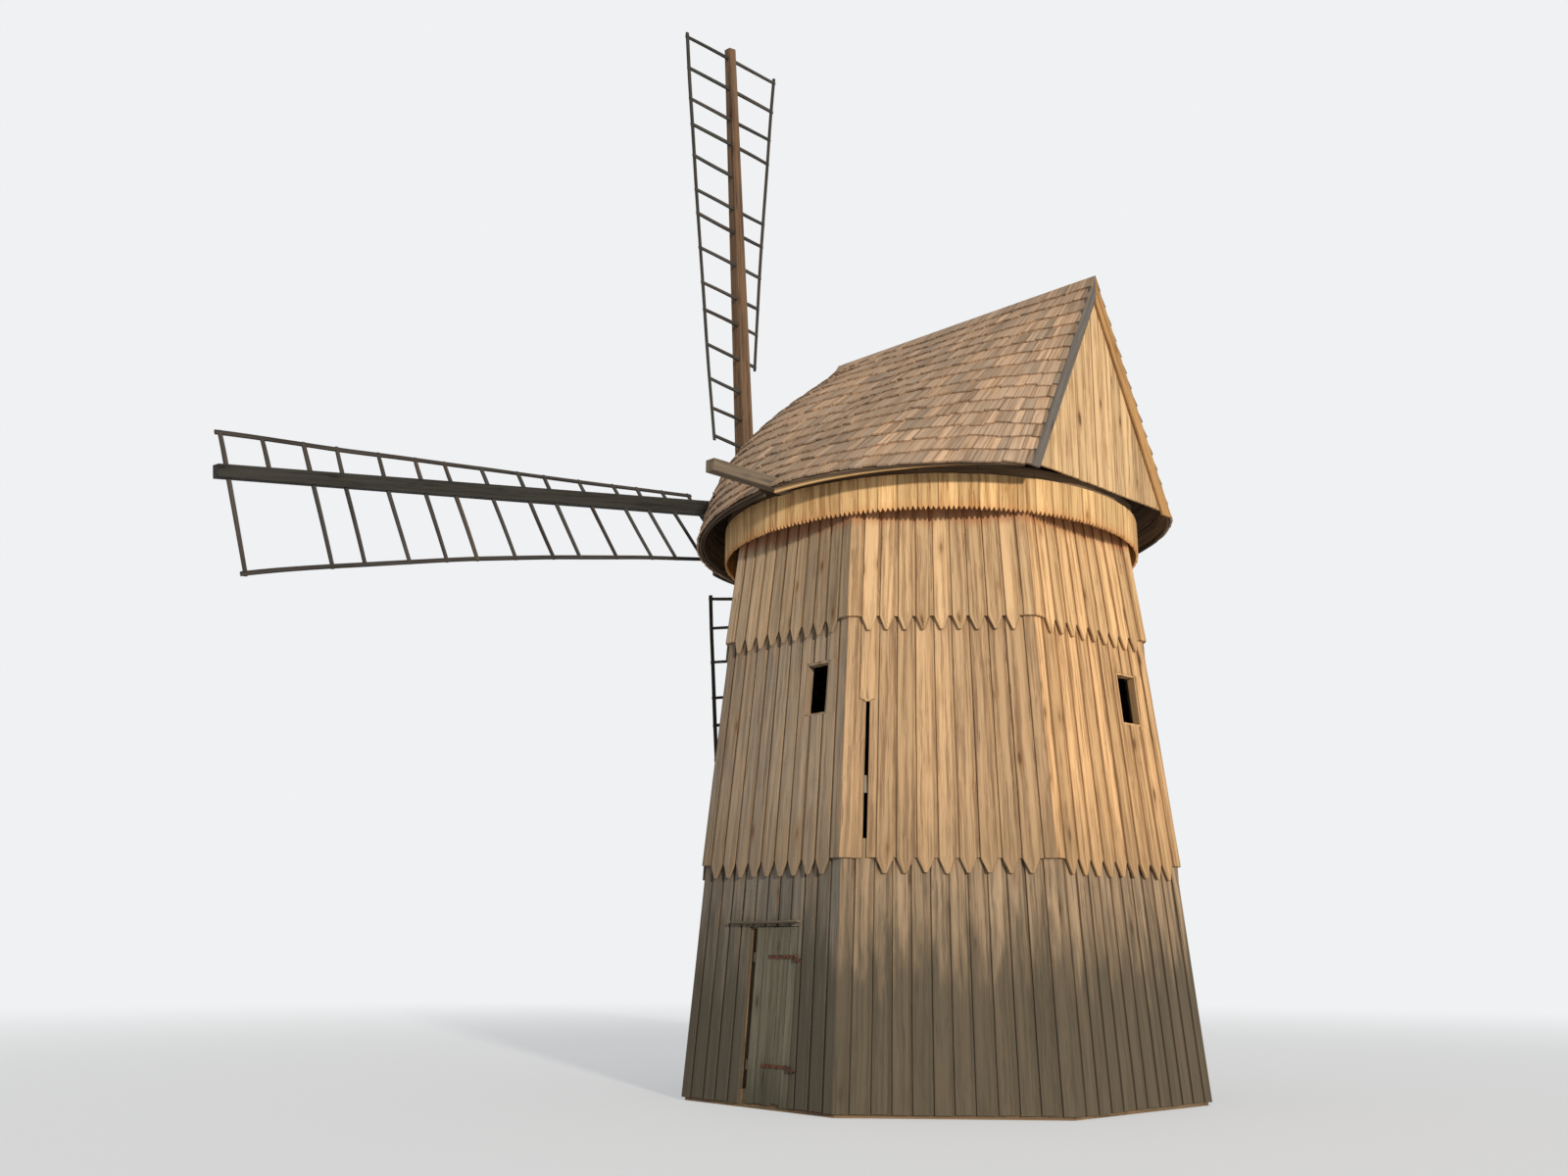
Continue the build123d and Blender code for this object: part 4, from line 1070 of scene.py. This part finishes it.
rotor_turn, upright_lift, level_lift = -8.75, -0.07, 0.13
upright_reach, level_reach = 6.75, 7.6
shaft_up = Vector((0, math.sin(shaft_tilt), math.cos(shaft_tilt)))
rotor = Matrix((Vector((1, 0, 0)), shaft_up, shaft_way)).transposed().to_4x4()
rotor.translation = hub
rotor = rotor @ Matrix.Rotation(math.radians(rotor_turn), 4, "Z")
upright = rotor @ Matrix.Translation((0, 0, upright_lift))
level = rotor @ Matrix.Translation((0, 0, level_lift)) @ Matrix.Rotation(math.radians(-90), 4, "Z")
upright_way = upright.to_3x3() @ Vector((0, 1, 0))
level_way = level.to_3x3() @ Vector((0, 1, 0))
stock_colours = (linear(128, 96, 68), linear(74, 52, 36), linear(104, 96, 86))
tarred_colours = (linear(62, 56, 50), linear(34, 29, 25), linear(58, 58, 55))
dress("windshaft", timber_paint("windshaft", stock_colours, 0.3, grain_way=shaft_way), 0.01)
dress("upright_stock", timber_paint("upright_stock", stock_colours, 0.25, grain_way=upright_way), 0.01)
dress("level_stock", timber_paint("level_stock", tarred_colours, 0.6, grain_way=level_way), 0.01)

# Sail lattices
# Slender bars run through each stock, twisted a little more towards the hub, and
# two rows of long laths are nailed over their ends. Some bars have broken off.

bar_width, bar_depth, stile_width, stile_depth, stile_end = 0.05, 0.034, 0.055, 0.03, 0.06
weather_reach, worn_edge = 6.2, 0.004
root_width, taper_start = 0.2, 0.32
lath_paint = board_paint(
    "sail_laths", linear(84, 72, 62), linear(44, 36, 30), linear(76, 74, 70), knots=0.5, cracks=0.7)


def eight_corners(half_wide, half_deep):
    """A rectangle's outline with its corners worn off, from one front edge round to the back."""
    low, high = half_wide - worn_edge, half_deep - worn_edge
    return ((-half_wide, high), (-low, half_deep), (low, half_deep), (half_wide, high),
            (half_wide, -high), (low, -half_deep), (-low, -half_deep), (-half_wide, -high))


def sail_lattice(
    name, plane, bars, trailing, leading, weather, seed, stock_half,
    lost_trailing=(), lost_leading=(), leading_last=None,
):
    """One sail on a stock's arm. Widths are at the outermost bar, halfway and at the innermost."""
    pile = Pile(seed)
    chance = pile.chance

    def width(ways, along):
        share = (bars[0] - along) / (bars[0] - bars[-1])
        ends = ways[0] * (1 - share) * (1 - 2 * share) + ways[2] * share * (2 * share - 1)
        return ends + 4 * ways[1] * share * (1 - share)

    def bar_place(along):
        angle = math.radians(weather[0] + weather[1] * (1 - along / weather_reach))
        return plane @ Matrix.Translation((0, along, 0)) @ Matrix.Rotation(angle, 4, "Y")

    def bar(along, inner, outer):
        place = bar_place(along)
        half = bar_width / 2 * chance.uniform(0.85, 1.0)
        bend, drop = chance.uniform(-0.012, 0.012), chance.uniform(-0.012, 0.012)
        rings = []
        for step in range(7):
            share = step / 6
            across = inner + (outer - inner) * share
            shift = drop * share ** 2
            thin = 1 - 0.12 * share
            sway = bend * math.sin(math.pi * share) * 0.5
            corners = eight_corners(half * thin, bar_depth / 2)
            rings.append([place @ Vector((across, y + shift, z * thin + sway)) for y, z in corners])
        pile.strip(rings, (-1, -0.8, 0.8, 1, 1, 0.8, -0.8, -1), chance.uniform(0.3, 0.9))

    def stile(ways, way, kept):
        seed_line = chance.uniform(0, 50)
        rings = []
        for along in steps(kept[-1] - stile_end, kept[0] + stile_end, 0.2):
            sway = 0.010 * noise.noise(Vector((seed_line, along * 0.9, 0)))
            rise = 0.006 * noise.noise(Vector((seed_line, along * 0.9, 6)))
            across = way * (width(ways, along) - stile_width / 2) + sway
            worn = 0.9 + 0.1 * noise.noise(Vector((seed_line, along, 9)))
            corners = eight_corners(stile_width / 2 * worn, stile_depth / 2)
            place = bar_place(along)
            rings.append([place @ Vector((across + x, 0, z + rise)) for x, z in reversed(corners)])
        pile.strip(rings, (1, 1, 0.8, -0.8, -1, -1, -0.8, 0.8), chance.uniform(0.4, 0.9))

    for number, along in enumerate(bars):
        root = stock_half(along) * 0.85
        if number not in lost_trailing:
            bar(along, root, width(trailing, along))
        if number not in lost_leading:
            bar(along, -root, -width(leading, along))
    stile(trailing, 1, bars)
    stile(leading, -1, bars[:leading_last])
    pile.build(name + "_lattice", "sails", "sail_timber", lath_paint, name)


def taper(reach, tip_width):
    """Gives half the width of a stock at a place along it."""
    def half(along):
        past = max(0.0, along - taper_start)
        return (root_width + (tip_width - root_width) * past / (reach - taper_start)) / 2

    return half


upright_bars = [upright_reach * share for share in (
    0.978, 0.910, 0.842, 0.788, 0.718, 0.646, 0.594, 0.523, 0.450, 0.393, 0.319, 0.248, 0.189, 0.130)]
level_bars = [level_reach * share for share in (
    0.983, 0.919, 0.855, 0.803, 0.733, 0.668, 0.614, 0.545, 0.474, 0.421, 0.348, 0.275, 0.223, 0.165, 0.103)]
half_turn = Matrix.Rotation(math.pi, 4, "Z")
upright_trailing, upright_weather = (1.02, 1.13, 1.25), (11.6, 19.0)
upright_half = taper(upright_reach, 0.115)
level_widths, level_weather = ((1.247, 1.034, 1.071), (0.515, 0.396, 0.289)), (24.7, 18.6)
level_half = taper(level_reach, 0.15)
sail_lattice(
    "upper_sail", upright, upright_bars, upright_trailing, (1.104, 0.744, 0.342), upright_weather,
    31, upright_half, lost_leading=(4, 11, 12, 13), leading_last=11)
sail_lattice(
    "lower_sail", upright @ half_turn, upright_bars[:-1], upright_trailing, (0.6, 0.62, 0.6), upright_weather,
    32, upright_half)
sail_lattice("near_sail", level, level_bars, *level_widths, level_weather, 33, level_half, lost_trailing=(1,))
sail_lattice("far_sail", level @ half_turn, level_bars, *level_widths, level_weather, 34, level_half)
